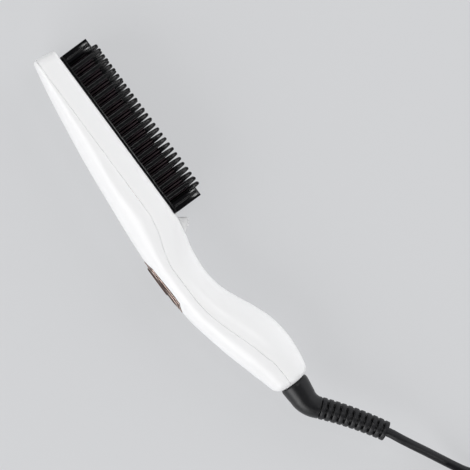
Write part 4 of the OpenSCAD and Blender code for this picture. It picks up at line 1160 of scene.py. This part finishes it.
def floor_paint(colour_value):
    """Matt painted board, which shows its own colour and part of the shadow on it."""
    look = Finish("matt_painted_board", colour_value, 0.9)
    path = look.add("LightPath").outputs
    seen = maths(look.tree, "MAXIMUM", path["Is Camera Ray"], path["Is Glossy Ray"])
    seen = maths(look.tree, "MAXIMUM", seen, path["Is Transmission Ray"])
    share = maths(look.tree, "MULTIPLY", seen, 0.75)
    glow = look.add("Emission", {"Color": colour_value, "Strength": 1.0}).outputs[0]
    both = look.add("MixShader", {0: share, 1: look.shader.outputs[0], 2: glow}).outputs[0]
    look.tree.links.new(both, look.output.inputs["Surface"])
    return look.material


class COMB_OT_stage(bpy.types.Operator):
    """Makes the floor, the lights and the camera"""

    bl_idname = "comb.stage"
    bl_label = "Stage"

    def execute(self, context):
        props = context.scene.comb_stage
        scene = context.scene
        scene.view_settings.view_transform = "Standard"
        centre = Vector((90.4, 29.9, MID_Z)) * MM
        # The lens stands over the comb, as its teeth show, and is shifted to frame the whole.
        stand = Vector((22.0, 14.0, MID_Z)) * MM
        turn = math.atan2(0.804, 0.594)
        lens = bpy.data.cameras.new("camera")
        lens.sensor_width = 36.0
        lens.lens = lens.sensor_width * props.camera_distance / props.picture_width
        lens.clip_end = 50.0
        off = (Matrix.Rotation(-turn, 3, "Z") @ (centre - stand)) / props.picture_width
        lens.shift_x, lens.shift_y = off.x, off.y
        camera = placed("camera", lens)
        camera.location = stand + Vector((0, 0, props.camera_distance))
        camera.rotation_euler = (0, 0, turn)
        scene.camera = camera
        far = 3000
        corners = [(-far, -far, -0.3), (far, -far, -0.3), (far, far, -0.3), (-far, far, -0.3)]
        floor = piece("floor", corners, [(0, 1, 2, 3)])
        floor.data.materials.append(floor_paint(props.floor))
        scene.world = self.studio()
        # Softboxes low on every side, which leave the crests of black parts dark. Those at the
        # tip and at the cord draw the thin lines along the teeth, and the small one over their
        # side puts a glint on their tapers. The fill lights the front and isn't mirrored in it.
        key = props.key_power
        lamps = [
            ("key", (0.06, -1.1, 0.72), 1.7, 0.9, key),
            ("fill", (0.06, 1.2, 0.66), 2.2, 1.4, key * 1.1),
            ("tip", (-1.2, 0.05, 0.62), 1.2, 0.12, key * 0.2),
            ("cord", (1.3, 0.05, 0.66), 1.2, 0.12, key * 0.2),
            ("glint", (-0.05, 0.33, 1.16), 0.3, 0.12, key * 0.1),
        ]
        for name, at, wide, deep, power in lamps:
            light = bpy.data.lights.new(name, "AREA")
            light.shape = "RECTANGLE"
            light.size, light.size_y, light.energy = wide, deep, power
            lamp = placed(name, light)
            lamp.location = centre + Vector(at)
            lamp.rotation_euler = (-Vector(at)).to_track_quat("-Z", "Y").to_euler()
            lamp.visible_camera = False
            lamp.visible_glossy = name != "fill"
        return {"FINISHED"}

    def studio(self):
        """Pale walls before and behind; dark ones at the ends and overhead keep the teeth black."""
        world = bpy.data.worlds.new("studio")
        world.use_nodes = True
        tree = world.node_tree
        ray = add(tree, "ShaderNodeTexCoord").outputs["Generated"]
        side = maths(tree, "ABSOLUTE", add(tree, "ShaderNodeSeparateXYZ", {0: ray}).outputs["Y"])
        ramp = {0: side, 1: 0.45, 2: 0.85, 3: 0.05, 4: 0.78}
        shade = add(tree, "ShaderNodeMapRange", ramp, interpolation_type="SMOOTHSTEP").outputs[0]
        sky = tree.nodes["Background"]
        sky.inputs["Color"].default_value = linear("#F4F5F8")
        tree.links.new(shade, sky.inputs["Strength"])
        return world


# ---- panel ------------------------------------------------------------------------

OPERATORS = (
    COMB_OT_stage,
    COMB_OT_swivel,
    COMB_OT_cord,
    COMB_OT_housing,
    COMB_OT_comb,
    COMB_OT_heater,
    COMB_OT_button,
    COMB_OT_latch,
    COMB_OT_inside,
)
GROUPS = {
    "comb_housing": HousingProps,
    "comb_comb": CombProps,
    "comb_button": ButtonProps,
    "comb_cord": CordProps,
    "comb_stage": StageProps,
}


class COMB_PT_panel(bpy.types.Panel):
    bl_label = "Heated comb"
    bl_idname = "COMB_PT_panel"
    bl_space_type = "VIEW_3D"
    bl_region_type = "UI"
    bl_category = "Comb"

    def draw(self, context):
        for name in GROUPS:
            group = getattr(context.scene, name)
            box = self.layout.box()
            for key in group.__annotations__:
                box.prop(group, key)
        for operator in OPERATORS:
            self.layout.operator(operator.bl_idname)


def register():
    for kind in (*GROUPS.values(), *OPERATORS, COMB_PT_panel):
        bpy.utils.register_class(kind)
    for name, kind in GROUPS.items():
        setattr(bpy.types.Scene, name, bpy.props.PointerProperty(type=kind))


def unregister():
    for name in GROUPS:
        delattr(bpy.types.Scene, name)
    for kind in reversed((*GROUPS.values(), *OPERATORS, COMB_PT_panel)):
        bpy.utils.unregister_class(kind)


def main():
    register()
    scene = bpy.context.scene
    make_materials(*(getattr(scene, name) for name in GROUPS if name != "comb_stage"))
    for operator in OPERATORS:
        group, name = operator.bl_idname.split(".")
        getattr(getattr(bpy.ops, group), name)()


if __name__ == "__main__":
    main()
